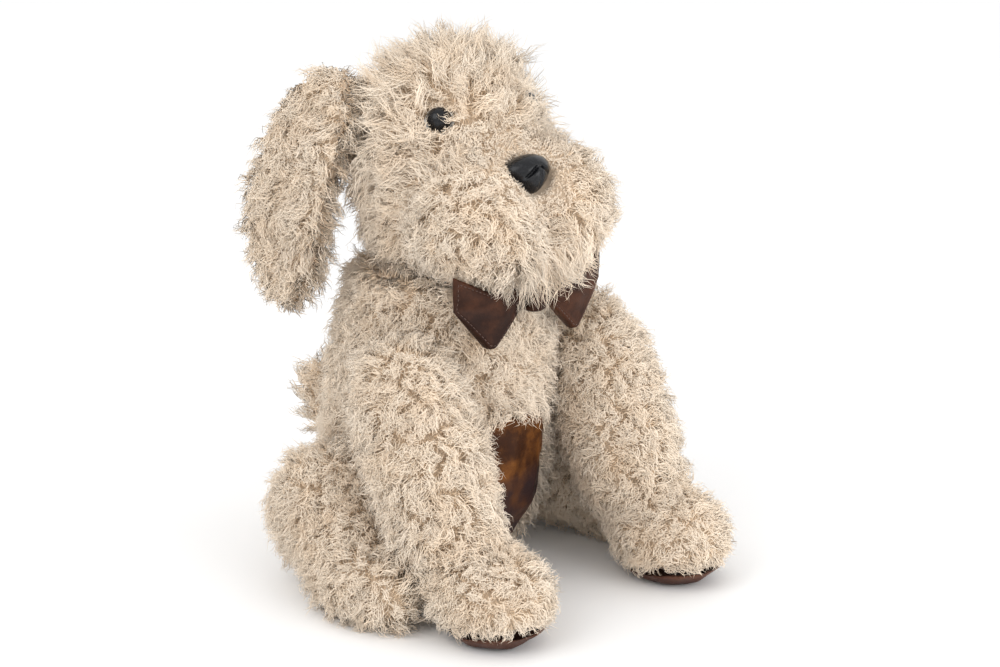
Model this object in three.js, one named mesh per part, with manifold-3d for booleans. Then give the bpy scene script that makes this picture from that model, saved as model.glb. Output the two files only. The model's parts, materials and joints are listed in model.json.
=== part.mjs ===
// A sitting plush dog with a leather bow tie, cut and sewn the way a soft-toy maker builds one:
// furry covers over stuffing, leather soles and belly, a pellet bag for weight, plastic eyes and nose.
// Millimetres, +Z up. The dog looks along -Y and its left side is +X. It rests on its paws and base.

import * as THREE from 'three';
import { mergeVertices } from 'three/addons/utils/BufferGeometryUtils.js';
import Module from 'manifold-3d';

const wasm = await Module();
wasm.setup();

// ---------------------------------------------------------------- driving dimensions

const PILE = 8;                       // thickness of the fur fabric: backing plus flattened pile
const BACKING = 1.5;                  // the woven backing at the bottom of the pile
const LEATHER = 1.6;                  // thickness of the leather panels and soles
const LEATHER_DROP = 3;               // how far the leather lies below the tips of the fur
const GAP = 0.4;                      // clearance between pieces that touch

const TORSO_HEIGHT = 190;             // top of the torso shape, before the head's seat is cut
const TORSO_WIDTH = 114;              // across the belly
const TORSO_DEPTH = 128;              // chest to back
const TORSO_LEAN = 21;                // how far the seat lies behind the neck
const BASE_SINK = 10;                 // how much of the round bottom is flattened away

const PANEL_WIDTH = 66;               // leather belly panel
const PANEL_TOP = 84;
const PANEL_BOTTOM = 14;
const BASE_WIDTH = 62;                // leather base panel
const BASE_DEPTH = 72;

const HEAD_HEIGHT = 221;              // height of the head's centre, which is also the neck's pivot
const HEAD_RADIUS = 48;
const CROWN_HEIGHT = 49;              // from the head's centre to its crown
const NECK_SEAT = 70;                 // radius of the ball-shaped seat under the head
const NECK_HOLE = 27;                 // radius of the opening between head and torso
const NECK_BALL = 19;                 // bulb at the top of the neck stuffing
const NECK_STEM = 11;
const JOWL_RADIUS = 36;
const JOWL_SPREAD = 23;               // each jowl's centre from the middle plane
const JOWL_FORWARD = 44;              // jowls ahead of the head's centre
const JOWL_DROP = 30;                 // jowls below the head's centre
const MUZZLE_WIDTH = 70;
const MUZZLE_LENGTH = 64;
const MUZZLE_HEIGHT = 62;
const MUZZLE_FORWARD = 31;            // the bridge's centre ahead of the head's centre
const MUZZLE_DROP = 18;               // the bridge's centre below the head's centre
const HEAD_TURN = 15;                 // degrees to each side

const EYE_DIAMETER = 12;
const EYE_SHANK = 4;
const EYE_WASHER = 15;
const EYE_AROUND = 51;                // degrees round from straight ahead
const EYE_UP = 25;                    // degrees above the head's centre
const NOSE_WIDTH = 26;
const NOSE_HEIGHT = 19;
const NOSE_DEPTH = 11;
const NOSE_SHANK = 6;
const NOSE_WASHER = 20;
const NOSE_PROUD = 11;                // the nose's seat ahead of the jowls' centres
const NOSE_DROP = 9;                  // the nose's seat below the head's centre
const NOSE_TILT = 35;                 // degrees that the nose looks up
const WASHER = 1.5;

const EAR_WIDTH = 54;
const EAR_THICKNESS = 6;              // of each of its two layers
const EAR_DROP = 118;                 // from the seam to the tip

const LEG_DIAMETER = 62;
const SHOULDER_HEIGHT = 114;
const LEG_STANCE = 10;                // how much the front legs' spacing exceeds the belly's width
const LEG_SPACING = TORSO_WIDTH + LEG_STANCE;
const PAW_WIDTH = 64;
const PAW_LENGTH = 74;
const PAW_HEIGHT = 54;
const PAW_SINK = 6;                   // how far the round paws are flattened by the floor
const PAW_FORWARD = 62;               // paw centre ahead of the shoulder
const SOLE_FRONT = 11;                // height of the sole's edge at the toes
const SOLE_BACK = 2.5;                // height of the sole's edge at the heel

const HAUNCH_WIDTH = 58;
const HAUNCH_DEPTH = 78;
const HAUNCH_HEIGHT = 74;
const HAUNCH_STANCE = 30;             // how much the haunches' spacing exceeds the belly's width
const HAUNCH_SPACING = TORSO_WIDTH + HAUNCH_STANCE;
const FOOT_WIDTH = 46;
const FOOT_LENGTH = 84;
const FOOT_HEIGHT = 44;
const FOOT_SPLAY = 32;                // how much the hind feet's spacing exceeds the haunches'
const FOOT_SPACING = HAUNCH_SPACING + FOOT_SPLAY;
const FOOT_FORWARD = 44;              // foot centre ahead of the haunch's

const TAIL_DIAMETER = 28;
const TAIL_LENGTH = 58;
const TAIL_HEIGHT = 50;               // height of the tail's root

const BOW_WING = 47;                  // length of each wing
const BOW_DEPTH = 27;                 // a wing's height half way out
const BOW_END = 18;                   // a wing's height at its end
const BOW_DROOP = 9;                  // how far the wing's middle hangs below the knot
const BOW_RISE = 7;                   // how far the wing's end stands above the knot
const BOW_KNOT = 13;
const BOW_THICKNESS = 7;
const BOW_HEIGHT = 152;               // height of the knot

const BAG_ROOM_SIDE = 22;             // from the belly's widest point to the pellet bag
const BAG_ROOM_BACK = 26;             // from the back's furthest point to the pellet bag
const BAG_WIDTH = TORSO_WIDTH - 2 * BAG_ROOM_SIDE;
const BAG_DEPTH = TORSO_DEPTH - 2 * BAG_ROOM_BACK;
const BAG_HEIGHT = 42;
const BAG_CLOTH = 1;                  // thickness of the bag's cotton

// ---------------------------------------------------------------- materials

const finish = (color, roughness) => new THREE.MeshStandardMaterial({ color, roughness, metalness: 0 });

const materials = {
  plush: finish(0xd8c8b2, 1),
  stuffing: finish(0xf2f0ea, 1),
  leather: finish(0x4a2c20, 0.45),
  bag: finish(0xcfc6b4, 0.9),
  pellets: finish(0xe6e6e2, 0.5),
  gloss: finish(0x0b0b0c, 0.12),
  washer: finish(0xdedede, 0.5),
};

// ---------------------------------------------------------------- solids

/** A closed three.js geometry as a solid that can be joined and cut. */
function solid(geometry) {
  geometry.deleteAttribute('normal');
  geometry.deleteAttribute('uv');
  const merged = mergeVertices(geometry, 1e-3);
  return new wasm.Manifold(new wasm.Mesh({
    numProp: 3,
    vertProperties: merged.attributes.position.array,
    triVerts: new Uint32Array(merged.index.array),
  }));
}

/** A named mesh of a solid. */
function part(name, body, material) {
  const { vertProperties, triVerts } = body.getMesh();
  const geometry = new THREE.BufferGeometry();
  geometry.setAttribute('position', new THREE.BufferAttribute(vertProperties, 3));
  geometry.setIndex(new THREE.BufferAttribute(triVerts, 1));
  geometry.computeVertexNormals();
  const mesh = new THREE.Mesh(geometry, material);
  mesh.name = name;
  return mesh;
}

/** An ellipsoid; a positive inset makes it smaller all round. */
function ball(centre, radii, inset = 0, spokes = 20) {
  const geometry = new THREE.SphereGeometry(1, spokes, Math.round(spokes * 0.7));
  geometry.rotateX(Math.PI / 2);
  geometry.scale(radii[0] - inset, radii[1] - inset, radii[2] - inset);
  geometry.translate(...centre);
  return solid(geometry);
}

/** A box between two corners. */
function block(low, high) {
  const size = low.map((value, axis) => high[axis] - value);
  const geometry = new THREE.BoxGeometry(...size);
  geometry.translate(...low.map((value, axis) => value + size[axis] / 2));
  return solid(geometry);
}

/** An upright round bar from one height to another. */
function bar(radius, bottom, top, spokes = 10) {
  const geometry = new THREE.CylinderGeometry(radius, radius, top - bottom, spokes);
  geometry.rotateX(Math.PI / 2);
  geometry.translate(0, 0, (top + bottom) / 2);
  return solid(geometry);
}

/**
 * A stuffed shape: a rounded tube along a spine. half holds each station's half width along side
 * and half depth across it; fullness 2 gives an egg and more gives blunter ends; shift moves the
 * shape across its spine; a positive inset makes it smaller all round.
 */
function plump({ spine, half, side, fullness, spokes = 18, rings = 14, shift = 0 }, inset = 0) {
  const path = new THREE.CatmullRomCurve3(spine.map((point) => new THREE.Vector3(...point)));
  const girth = new THREE.CatmullRomCurve3(half.map(([wide, deep]) => new THREE.Vector3(wide, deep, 0)));
  const geometry = new THREE.SphereGeometry(1, spokes, rings);
  const position = geometry.attributes.position;
  for (let i = 0; i < position.count; i++) {
    const along = position.getY(i);
    const angle = Math.atan2(position.getZ(i), position.getX(i));
    const share = (1 + along) / 2;
    const round = Math.sqrt(Math.max(0, 1 - Math.abs(along) ** fullness));
    const size = girth.getPoint(share);
    const tangent = path.getTangent(share);
    const across = new THREE.Vector3(...side).cross(tangent).normalize();
    const wide = tangent.clone().cross(across).normalize();
    const point = path.getPoint(share).addScaledVector(tangent, -inset * along);
    point.addScaledVector(wide, Math.cos(angle) * (size.x - inset) * round);
    point.addScaledVector(across, Math.sin(angle) * (size.y - inset) * round + shift);
    position.setXYZ(i, point.x, point.y, point.z);
  }
  return solid(geometry);
}

/** The join of several solids. */
const join = (...solids) => solids.reduce((all, next) => all.add(next));

/** The same solid on the dog's other side. */
const mirrored = (body) => body.mirror([1, 0, 0]);

/** A solid made along +Z from the origin, laid along a direction from a point. */
function aim(body, point, direction) {
  const turn = new THREE.Quaternion().setFromUnitVectors(new THREE.Vector3(0, 0, 1), direction);
  const matrix = new THREE.Matrix4().compose(point, turn, new THREE.Vector3(1, 1, 1));
  return body.transform(matrix.elements);
}

/** A solid swung about an axis through a pivot, in degrees. */
function swung(body, pivot, axis, degrees) {
  const angle = THREE.MathUtils.degToRad(degrees);
  const turn = new THREE.Matrix4().makeRotationAxis(new THREE.Vector3(...axis), angle);
  const away = new THREE.Matrix4().makeTranslation(...pivot);
  const back = new THREE.Matrix4().makeTranslation(...pivot.map((value) => -value));
  return body.transform(away.multiply(turn).multiply(back).elements);
}

const SIDE = [1, 0, 0];
const UP = [0, 0, 1];

// ---------------------------------------------------------------- head

const HEAD = [0, 5, HEAD_HEIGHT];
const jowlCentre = (side) => [side * JOWL_SPREAD, HEAD[1] - JOWL_FORWARD, HEAD[2] - JOWL_DROP];
const jowls = (inset) => join(
  ball(jowlCentre(1), [JOWL_RADIUS, JOWL_RADIUS, JOWL_RADIUS], inset, 12),
  ball(jowlCentre(-1), [JOWL_RADIUS, JOWL_RADIUS, JOWL_RADIUS], inset, 12),
);

/** The head without its muzzle: the skull and the neck below it, down to the ball-shaped seat. */
function skull(inset) {
  const neck = {
    spine: [[0, HEAD[1] - 4, HEAD[2] - NECK_SEAT - 30], HEAD, [HEAD[0], HEAD[1], HEAD[2] + CROWN_HEIGHT]],
    half: [HEAD_RADIUS + 2, HEAD_RADIUS, HEAD_RADIUS - 8].map((radius) => [radius, radius]),
    side: SIDE,
    fullness: 3,
    spokes: 14,
    rings: 8,
  };
  const seat = ball(HEAD, [NECK_SEAT, NECK_SEAT, NECK_SEAT], inset, 18);
  return plump(neck, inset).intersect(seat);
}

/** The bridge of the muzzle, which fills in between the jowls and carries the nose. */
const muzzle = (inset) => ball(
  [0, HEAD[1] - MUZZLE_FORWARD, HEAD[2] - MUZZLE_DROP],
  [MUZZLE_WIDTH / 2, MUZZLE_LENGTH / 2, MUZZLE_HEIGHT / 2],
  inset,
  12,
);

const cheeks = (inset) => ball([0, HEAD[1] - 16, HEAD[2] - 18], [HEAD_RADIUS + 6, 42, 36], inset, 12);

/** The whole head, from cheeks to crown. */
const headShape = (inset = 0) => join(skull(inset), cheeks(inset), jowls(inset), muzzle(inset));

const degrees = THREE.MathUtils.degToRad;
const eyeDirection = (side) => new THREE.Vector3(
  side * Math.sin(degrees(EYE_AROUND)) * Math.cos(degrees(EYE_UP)),
  -Math.cos(degrees(EYE_AROUND)) * Math.cos(degrees(EYE_UP)),
  Math.sin(degrees(EYE_UP)),
);
const noseDirection = new THREE.Vector3(0, -Math.cos(degrees(NOSE_TILT)), Math.sin(degrees(NOSE_TILT)));

/** Where the woven backing lies under an eye, measured outward from the head's centre. */
function eyeSeat(side) {
  return new THREE.Vector3(...HEAD).addScaledVector(eyeDirection(side), HEAD_RADIUS - PILE + BACKING);
}
const noseSeat = new THREE.Vector3(0, HEAD[1] - JOWL_FORWARD - NOSE_PROUD, HEAD[2] - NOSE_DROP);

/** An eye: a domed button on a shank. */
function eyeButton(grow = 0) {
  const radius = EYE_DIAMETER / 2;
  const dome = ball([0, 0, 1], [radius + grow, radius + grow, radius - 1 + grow], 0, 12)
    .subtract(block([-radius * 2, -radius * 2, -radius * 2], [radius * 2, radius * 2, GAP - grow]));
  return dome.add(bar(EYE_SHANK / 2 + grow, -BACKING - WASHER - 4 - grow, 1));
}

/** The nose: a dome, wide at the top and narrow below, on a shank. Its top lies along +Y. */
function noseButton(grow = 0) {
  const geometry = new THREE.SphereGeometry(1, 16, 10);
  geometry.scale(NOSE_WIDTH / 2 + grow, NOSE_HEIGHT / 2 + grow, NOSE_DEPTH + grow);
  const position = geometry.attributes.position;
  for (let i = 0; i < position.count; i++) {
    const height = position.getY(i) / NOSE_HEIGHT;
    position.setX(i, position.getX(i) * (1 + 0.5 * height));
  }
  const reach = NOSE_WIDTH;
  return solid(geometry)
    .subtract(block([-reach, -reach, -reach], [reach, reach, GAP - grow]))
    .add(bar(NOSE_SHANK / 2 + grow, -BACKING - WASHER - 5 - grow, 1));
}

/** A locking washer that grips a shank behind the backing. */
function washer(diameter, shank, grow = 0) {
  const disc = bar(diameter / 2 + grow, -BACKING - GAP - WASHER - grow, -BACKING - GAP + grow, 10);
  return grow > 0 ? disc : disc.subtract(bar(shank / 2 + 0.2, -20, 20));
}

/** The well in the pile around a fitting: everything outside the backing there. */
const well = (radius) => bar(radius, GAP, 60, 10);

const atEye = (body, side) => aim(body, eyeSeat(side), eyeDirection(side));

/** Turns the nose's +Y upward before it is aimed. */
function atNose(body) {
  const turn = new THREE.Matrix4().makeBasis(
    new THREE.Vector3(1, 0, 0),
    new THREE.Vector3(0, Math.sin(degrees(NOSE_TILT)), Math.cos(degrees(NOSE_TILT))),
    noseDirection,
  );
  return body.transform(turn.setPosition(noseSeat).elements);
}

const neckHole = bar(NECK_HOLE, HEAD[2] - NECK_SEAT - 40, HEAD[2] - 40, 16).translate([0, HEAD[1], 0]);

/** The wad in the neck: a bulb that the head rocks on and a stem that turns in the torso. */
function neckWad(grow = 0) {
  const bulb = ball(HEAD, [NECK_BALL, NECK_BALL, NECK_BALL], -grow, 12);
  const stem = bar(NECK_STEM + grow, HEAD[2] - NECK_SEAT - 22 - grow, HEAD[2] - 4).translate([0, HEAD[1], 0]);
  return bulb.add(stem);
}

const headOpenings = [1, -1].map((side) => join(
  atEye(eyeButton(GAP), side),
  atEye(well(EYE_DIAMETER / 2 + GAP), side),
  atEye(washer(EYE_WASHER, EYE_SHANK, GAP), side),
));

const headCover = headShape()
  .subtract(headShape(PILE))
  .subtract(neckHole)
  .subtract(headOpenings[0])
  .subtract(headOpenings[1])
  .subtract(atNose(noseButton(GAP)))
  .subtract(atNose(washer(NOSE_WASHER, NOSE_SHANK, GAP)));

let headStuffing = headShape(PILE + GAP);
for (const side of [1, -1]) {
  headStuffing = headStuffing
    .subtract(atEye(eyeButton(GAP), side))
    .subtract(atEye(washer(EYE_WASHER, EYE_SHANK, GAP), side));
}
const stemRoom = new THREE.CylinderGeometry(NECK_STEM + 4, NECK_STEM + 22, 60, 14);
stemRoom.rotateX(Math.PI / 2);
stemRoom.translate(0, HEAD[1], HEAD[2] - 12 - 30);
headStuffing = headStuffing
  .subtract(atNose(noseButton(GAP)))
  .subtract(atNose(washer(NOSE_WASHER, NOSE_SHANK, GAP)))
  .subtract(ball(HEAD, [NECK_BALL, NECK_BALL, NECK_BALL], -GAP - 1, 12))
  .subtract(solid(stemRoom));

// ---------------------------------------------------------------- front legs

const SHOULDER = [LEG_SPACING / 2, HEAD[1] - 34, SHOULDER_HEIGHT];
const PAW = [SHOULDER[0], SHOULDER[1] - PAW_FORWARD, PAW_HEIGHT / 2 - PAW_SINK];
const belowFloor = (height = 0) => block([-300, -300, -100], [300, 300, height]);
const paw = (inset) => ball(PAW, [PAW_WIDTH / 2, PAW_LENGTH / 2, PAW_HEIGHT / 2], inset, 13);

/** The column of the left front leg, leaning forward from the shoulder. */
function legColumn(inset) {
  return plump({
    spine: [
      [SHOULDER[0] - 7, SHOULDER[1] + 8, SHOULDER[2] + 22],
      SHOULDER,
      [SHOULDER[0], SHOULDER[1] - PAW_FORWARD * 0.4, SHOULDER[2] * 0.56],
      [SHOULDER[0], PAW[1] + PAW_LENGTH * 0.22, PAW[2] - 4],
    ],
    half: [
      [LEG_DIAMETER * 0.36, LEG_DIAMETER * 0.38],
      [LEG_DIAMETER * 0.47, LEG_DIAMETER * 0.47],
      [LEG_DIAMETER * 0.52, LEG_DIAMETER * 0.52],
      [LEG_DIAMETER * 0.54, LEG_DIAMETER * 0.52],
    ],
    side: SIDE,
    fullness: 4,
    spokes: 11,
    rings: 7,
  }, inset);
}

/** The left front leg: its column and its round paw. */
const frontLegShape = (inset = 0) => legColumn(inset).add(paw(inset));

/** Everything below the sole's edge, which rises from heel to toes. */
function belowSole(lift = 0) {
  const reach = PAW_LENGTH / 2;
  const outline = new THREE.Shape([
    new THREE.Vector2(PAW[1] + 2 * reach, -40),
    new THREE.Vector2(PAW[1] + reach, SOLE_BACK + lift),
    new THREE.Vector2(PAW[1] - reach, SOLE_FRONT + lift),
    new THREE.Vector2(PAW[1] - 2 * reach, -40),
  ]);
  const geometry = new THREE.ExtrudeGeometry(outline, { depth: 4 * SHOULDER[0], bevelEnabled: false });
  geometry.rotateX(Math.PI / 2);
  geometry.rotateZ(Math.PI / 2);
  return solid(geometry);
}

const soleWell = (inset) => paw(PILE + inset).translate([0, 0, -PILE]);
const insideSole = paw(LEATHER_DROP + LEATHER + GAP).subtract(belowFloor(LEATHER + GAP));

const frontLegCover = frontLegShape()
  .subtract(frontLegShape(PILE))
  .subtract(soleWell(0))
  .subtract(belowSole());
const frontLegStuffing = frontLegShape(PILE + GAP)
  .subtract(belowSole(PILE))
  .add(soleWell(GAP).intersect(insideSole));
const frontLegSole = paw(LEATHER_DROP)
  .subtract(paw(LEATHER_DROP + LEATHER).subtract(belowFloor(LEATHER)))
  .subtract(belowFloor())
  .intersect(belowSole(-GAP));

// ---------------------------------------------------------------- hind legs

const HAUNCH = [HAUNCH_SPACING / 2, HEAD[1] + 10, HAUNCH_HEIGHT / 2 + 2];
const FOOT = [FOOT_SPACING / 2, HAUNCH[1] - FOOT_FORWARD, FOOT_HEIGHT / 2 - PAW_SINK];
const HIP = [HAUNCH[0] - HAUNCH_WIDTH * 0.3, HAUNCH[1] + HAUNCH_DEPTH * 0.4, HAUNCH[2]];

const haunch = (inset) => ball(HAUNCH, [HAUNCH_WIDTH / 2, HAUNCH_DEPTH / 2, HAUNCH_HEIGHT / 2], inset, 12);
const ANKLE = HAUNCH.map((value, axis) => (value + FOOT[axis]) / 2);
const ankle = (inset) => ball(ANKLE, [FOOT_WIDTH * 0.56, FOOT_LENGTH * 0.36, FOOT_HEIGHT * 0.6], inset, 10);
const foot = (inset) => ball(FOOT, [FOOT_WIDTH / 2, FOOT_LENGTH / 2, FOOT_HEIGHT / 2], inset, 10);

/** The left hind leg: a round haunch with the foot lying forward along the floor. */
function hindLegShape(inset = 0) {
  return join(haunch(inset), ankle(inset), foot(inset))
    .subtract(belowFloor(Math.max(inset, 0)))
    .subtract(frontLegShape(-GAP - inset));
}

const hipHole = bar(9, -HAUNCH_WIDTH, HAUNCH_WIDTH).rotate([0, 90, 0])
  .translate([HIP[0] - HAUNCH_WIDTH, HAUNCH[1], HAUNCH[2]]);
const hindLegCover = hindLegShape().subtract(hindLegShape(PILE)).subtract(hipHole);
const hindLegStuffing = hindLegShape(PILE + GAP);

// ---------------------------------------------------------------- tail

const TAIL = [0, HEAD[1] + TORSO_LEAN * 0.75 + TORSO_DEPTH / 2 - 2, TAIL_HEIGHT];

/** The tail: a short plume that curls up behind the back from a ball-shaped root. */
function tailShape(inset = 0) {
  const plume = {
    spine: [
      [0, TAIL[1] - TAIL_DIAMETER * 0.3, TAIL[2]],
      [0, TAIL[1] + TAIL_LENGTH * 0.32, TAIL[2] + 2],
      [0, TAIL[1] + TAIL_LENGTH * 0.48, TAIL[2] + TAIL_LENGTH * 0.28],
      [0, TAIL[1] + TAIL_LENGTH * 0.5, TAIL[2] + TAIL_LENGTH * 0.68],
    ],
    half: [
      [TAIL_DIAMETER * 0.36, TAIL_DIAMETER * 0.36],
      [TAIL_DIAMETER * 0.46, TAIL_DIAMETER * 0.46],
      [TAIL_DIAMETER * 0.5, TAIL_DIAMETER * 0.5],
      [TAIL_DIAMETER * 0.42, TAIL_DIAMETER * 0.42],
    ],
    side: SIDE,
    fullness: 4,
    spokes: 10,
    rings: 7,
  };
  return plump(plume, inset).add(tailRoot(inset));
}
const tailRoot = (inset) => ball(TAIL, [TAIL_DIAMETER / 2, TAIL_DIAMETER / 2, TAIL_DIAMETER / 2], inset, 10);

const tailHole = bar(4, -TAIL_LENGTH / 2, 0, 12).rotate([-90, 0, 0]).translate(TAIL);
const tailCover = tailShape().subtract(tailShape(PILE)).subtract(tailHole);
const tailStuffing = tailShape(PILE + GAP);

// ---------------------------------------------------------------- torso

/** The plain torso: an upright pear that leans back towards its seat. */
function pear(inset = 0) {
  const shape = {
    spine: [
      [0, HEAD[1] + TORSO_LEAN * 0.85, -BASE_SINK],
      [0, HEAD[1] + TORSO_LEAN * 0.75, TORSO_HEIGHT * 0.2],
      [0, HEAD[1] + TORSO_LEAN * 0.4, TORSO_HEIGHT * 0.5],
      [0, HEAD[1], TORSO_HEIGHT * 0.78],
      [0, HEAD[1] - 4, TORSO_HEIGHT + 14],
    ],
    half: [
      [TORSO_WIDTH * 0.44, TORSO_DEPTH * 0.44],
      [TORSO_WIDTH * 0.5, TORSO_DEPTH * 0.5],
      [TORSO_WIDTH * 0.5, TORSO_DEPTH * 0.485],
      [TORSO_WIDTH * 0.47, TORSO_DEPTH * 0.43],
      [TORSO_WIDTH * 0.45, TORSO_DEPTH * 0.4],
    ],
    side: SIDE,
    fullness: 4,
    spokes: 16,
    rings: 9,
  };
  return plump(shape, inset).subtract(belowFloor(Math.max(inset, 0)));
}

/** What the torso stays clear of: the head's seat, the turning jowls, the legs and the tail. */
function neighbours(inset) {
  const room = -GAP - inset;
  const seat = ball(HEAD, [NECK_SEAT, NECK_SEAT, NECK_SEAT], room - 1, 18);
  const face = jowls(room - 1).add(cheeks(room - 2));
  const turned = [-HEAD_TURN, 0, HEAD_TURN].map((turn) => swung(face, HEAD, UP, turn));
  const left = join(legColumn(room - 1), haunch(room), foot(room));
  return join(seat, ...turned, left, mirrored(left), tailRoot(room - 0.5));
}

const torsoShape = (inset = 0) => pear(inset).subtract(neighbours(inset));

/** The outline of the belly panel, pushed through the torso's front. */
function bellyWindow(grow) {
  const half = PANEL_WIDTH / 2 + grow;
  const outline = new THREE.Shape();
  outline.moveTo(-half * 0.75, PANEL_TOP + grow);
  outline.quadraticCurveTo(0, PANEL_TOP + grow + 6, half * 0.75, PANEL_TOP + grow);
  outline.quadraticCurveTo(half * 1.25, PANEL_TOP * 0.4, half * 0.6, PANEL_BOTTOM - grow);
  outline.lineTo(-half * 0.6, PANEL_BOTTOM - grow);
  outline.quadraticCurveTo(-half * 1.25, PANEL_TOP * 0.4, -half * 0.75, PANEL_TOP + grow);
  const geometry = new THREE.ExtrudeGeometry(outline, { depth: 90, bevelEnabled: false, curveSegments: 8 });
  geometry.rotateX(Math.PI / 2);
  return solid(geometry);
}

/** The oval of the base panel, from one height to another. */
function baseOval(grow, bottom, top) {
  return bar(1, bottom, top, 20)
    .scale([BASE_WIDTH / 2 + grow, BASE_DEPTH / 2 + grow, 1])
    .translate([0, HEAD[1] + TORSO_LEAN * 0.85, 0]);
}

const torsoCore = torsoShape(PILE);
const panelSeat = pear(LEATHER_DROP + LEATHER + GAP).subtract(neighbours(LEATHER_DROP + LEATHER + GAP));
const torsoCover = torsoShape()
  .subtract(torsoCore)
  .subtract(neckHole)
  .subtract(bellyWindow(GAP))
  .subtract(baseOval(GAP, -1, PILE + 7));
const bellyPanel = torsoShape(LEATHER_DROP)
  .subtract(pear(LEATHER_DROP + LEATHER))
  .intersect(bellyWindow(0));
const basePanel = baseOval(0, 0, LEATHER);

const BAG = [0, HEAD[1] + TORSO_LEAN * 0.8, PILE + GAP + BAG_HEIGHT / 2 + 3];
const bag = (inset) => ball(BAG, [BAG_WIDTH / 2, BAG_DEPTH / 2, BAG_HEIGHT / 2], inset, 10);
const bagMouth = bar(5, BAG[2], BAG[2] + BAG_HEIGHT, 12).translate([0, BAG[1], 0]);
const pelletBag = bag(0).subtract(bag(BAG_CLOTH)).subtract(bagMouth);
const pelletFill = bag(BAG_CLOTH + GAP);

const torsoStuffing = torsoShape(PILE + GAP)
  .add(panelSeat.intersect(bellyWindow(-GAP)))
  .add(baseOval(-GAP, LEATHER + GAP, PILE + 3))
  .subtract(bag(-GAP))
  .subtract(bar(5, -1, BAG[2]).translate([0, BAG[1], 0]))
  .subtract(neckWad(GAP + 0.6));

// ---------------------------------------------------------------- ears

const EAR_ROOT = [HEAD[0] + HEAD_RADIUS * 0.85, HEAD[1] + HEAD_RADIUS * 0.48, HEAD[2] + HEAD_RADIUS * 0.68];

/** One layer of the left ear, on the outside (-1) or the inside (1) of its middle. */
function earLayer(layer) {
  return plump({
    spine: [
      EAR_ROOT,
      [EAR_ROOT[0] + 11, EAR_ROOT[1] + 6, EAR_ROOT[2] - EAR_DROP * 0.04],
      [EAR_ROOT[0] + 21, EAR_ROOT[1] + 13, EAR_ROOT[2] - EAR_DROP * 0.24],
      [EAR_ROOT[0] + 27, EAR_ROOT[1] + 21, EAR_ROOT[2] - EAR_DROP * 0.5],
      [EAR_ROOT[0] + 27, EAR_ROOT[1] + 24, EAR_ROOT[2] - EAR_DROP * 0.76],
      [EAR_ROOT[0] + 25, EAR_ROOT[1] + 21, EAR_ROOT[2] - EAR_DROP],
    ],
    half: [0.34, 0.42, 0.5, 0.53, 0.5, 0.4].map((share) => [EAR_WIDTH * share, EAR_THICKNESS / 2]),
    side: [0.15, 1, 0],
    fullness: 4,
    spokes: 12,
    rings: 9,
    shift: layer * (EAR_THICKNESS / 2 + GAP * 1.2),
  });
}

// ---------------------------------------------------------------- bow tie

const CHEST = HEAD[1] - TORSO_DEPTH * 0.41;
const KNOT = [0, CHEST - BOW_KNOT * 0.62, BOW_HEIGHT];
const knot = (inset = 0) => ball(KNOT, [BOW_KNOT * 0.42, BOW_KNOT * 0.42, BOW_KNOT * 0.5], inset, 12);

/** The left wing of the bow: narrow at the knot, deepest half way out, with its end turned up. */
const bowWing = plump({
  spine: [
    [3, KNOT[1], BOW_HEIGHT],
    [BOW_WING * 0.55, KNOT[1] - 1, BOW_HEIGHT - BOW_DROOP],
    [BOW_WING, KNOT[1] + 1, BOW_HEIGHT + BOW_RISE],
  ],
  half: [
    [BOW_KNOT * 0.36, BOW_THICKNESS / 2],
    [BOW_DEPTH / 2, BOW_THICKNESS / 2],
    [BOW_END / 2, BOW_THICKNESS / 2],
  ],
  side: UP,
  fullness: 10,
  spokes: 12,
  rings: 8,
}).subtract(knot(-GAP));

// ---------------------------------------------------------------- assembly

/** The group of meshes that moves about one pivot. */
function movingGroup(name, pivot, meshes) {
  const group = new THREE.Group();
  group.name = name;
  group.position.set(...pivot);
  for (const mesh of meshes) {
    mesh.position.set(...pivot.map((value) => -value));
    group.add(mesh);
  }
  return group;
}

const { plush, stuffing, leather, gloss } = materials;
const dog = new THREE.Group();
dog.add(movingGroup('torso', [0, 0, 0], [
  part('torso_cover', torsoCover, plush),
  part('torso_stuffing', torsoStuffing, stuffing),
  part('pellet_bag', pelletBag, materials.bag),
  part('pellet_fill', pelletFill, materials.pellets),
  part('belly_panel', bellyPanel, leather),
  part('base_panel', basePanel, leather),
  part('bow_knot', knot(), leather),
  part('bow_wing_left', bowWing, leather),
  part('bow_wing_right', mirrored(bowWing), leather),
]));
dog.add(movingGroup('neck', HEAD, [part('neck_stuffing', neckWad(), stuffing)]));

const headMeshes = [
  part('head_cover', headCover, plush),
  part('head_stuffing', headStuffing, stuffing),
  part('nose', atNose(noseButton()), gloss),
  part('nose_washer', atNose(washer(NOSE_WASHER, NOSE_SHANK)), materials.washer),
];
for (const [name, side] of [['left', 1], ['right', -1]]) {
  headMeshes.push(part(`eye_${name}`, atEye(eyeButton(), side), gloss));
  headMeshes.push(part(`eye_washer_${name}`, atEye(washer(EYE_WASHER, EYE_SHANK), side), materials.washer));
}
dog.add(movingGroup('head', HEAD, headMeshes));

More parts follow.
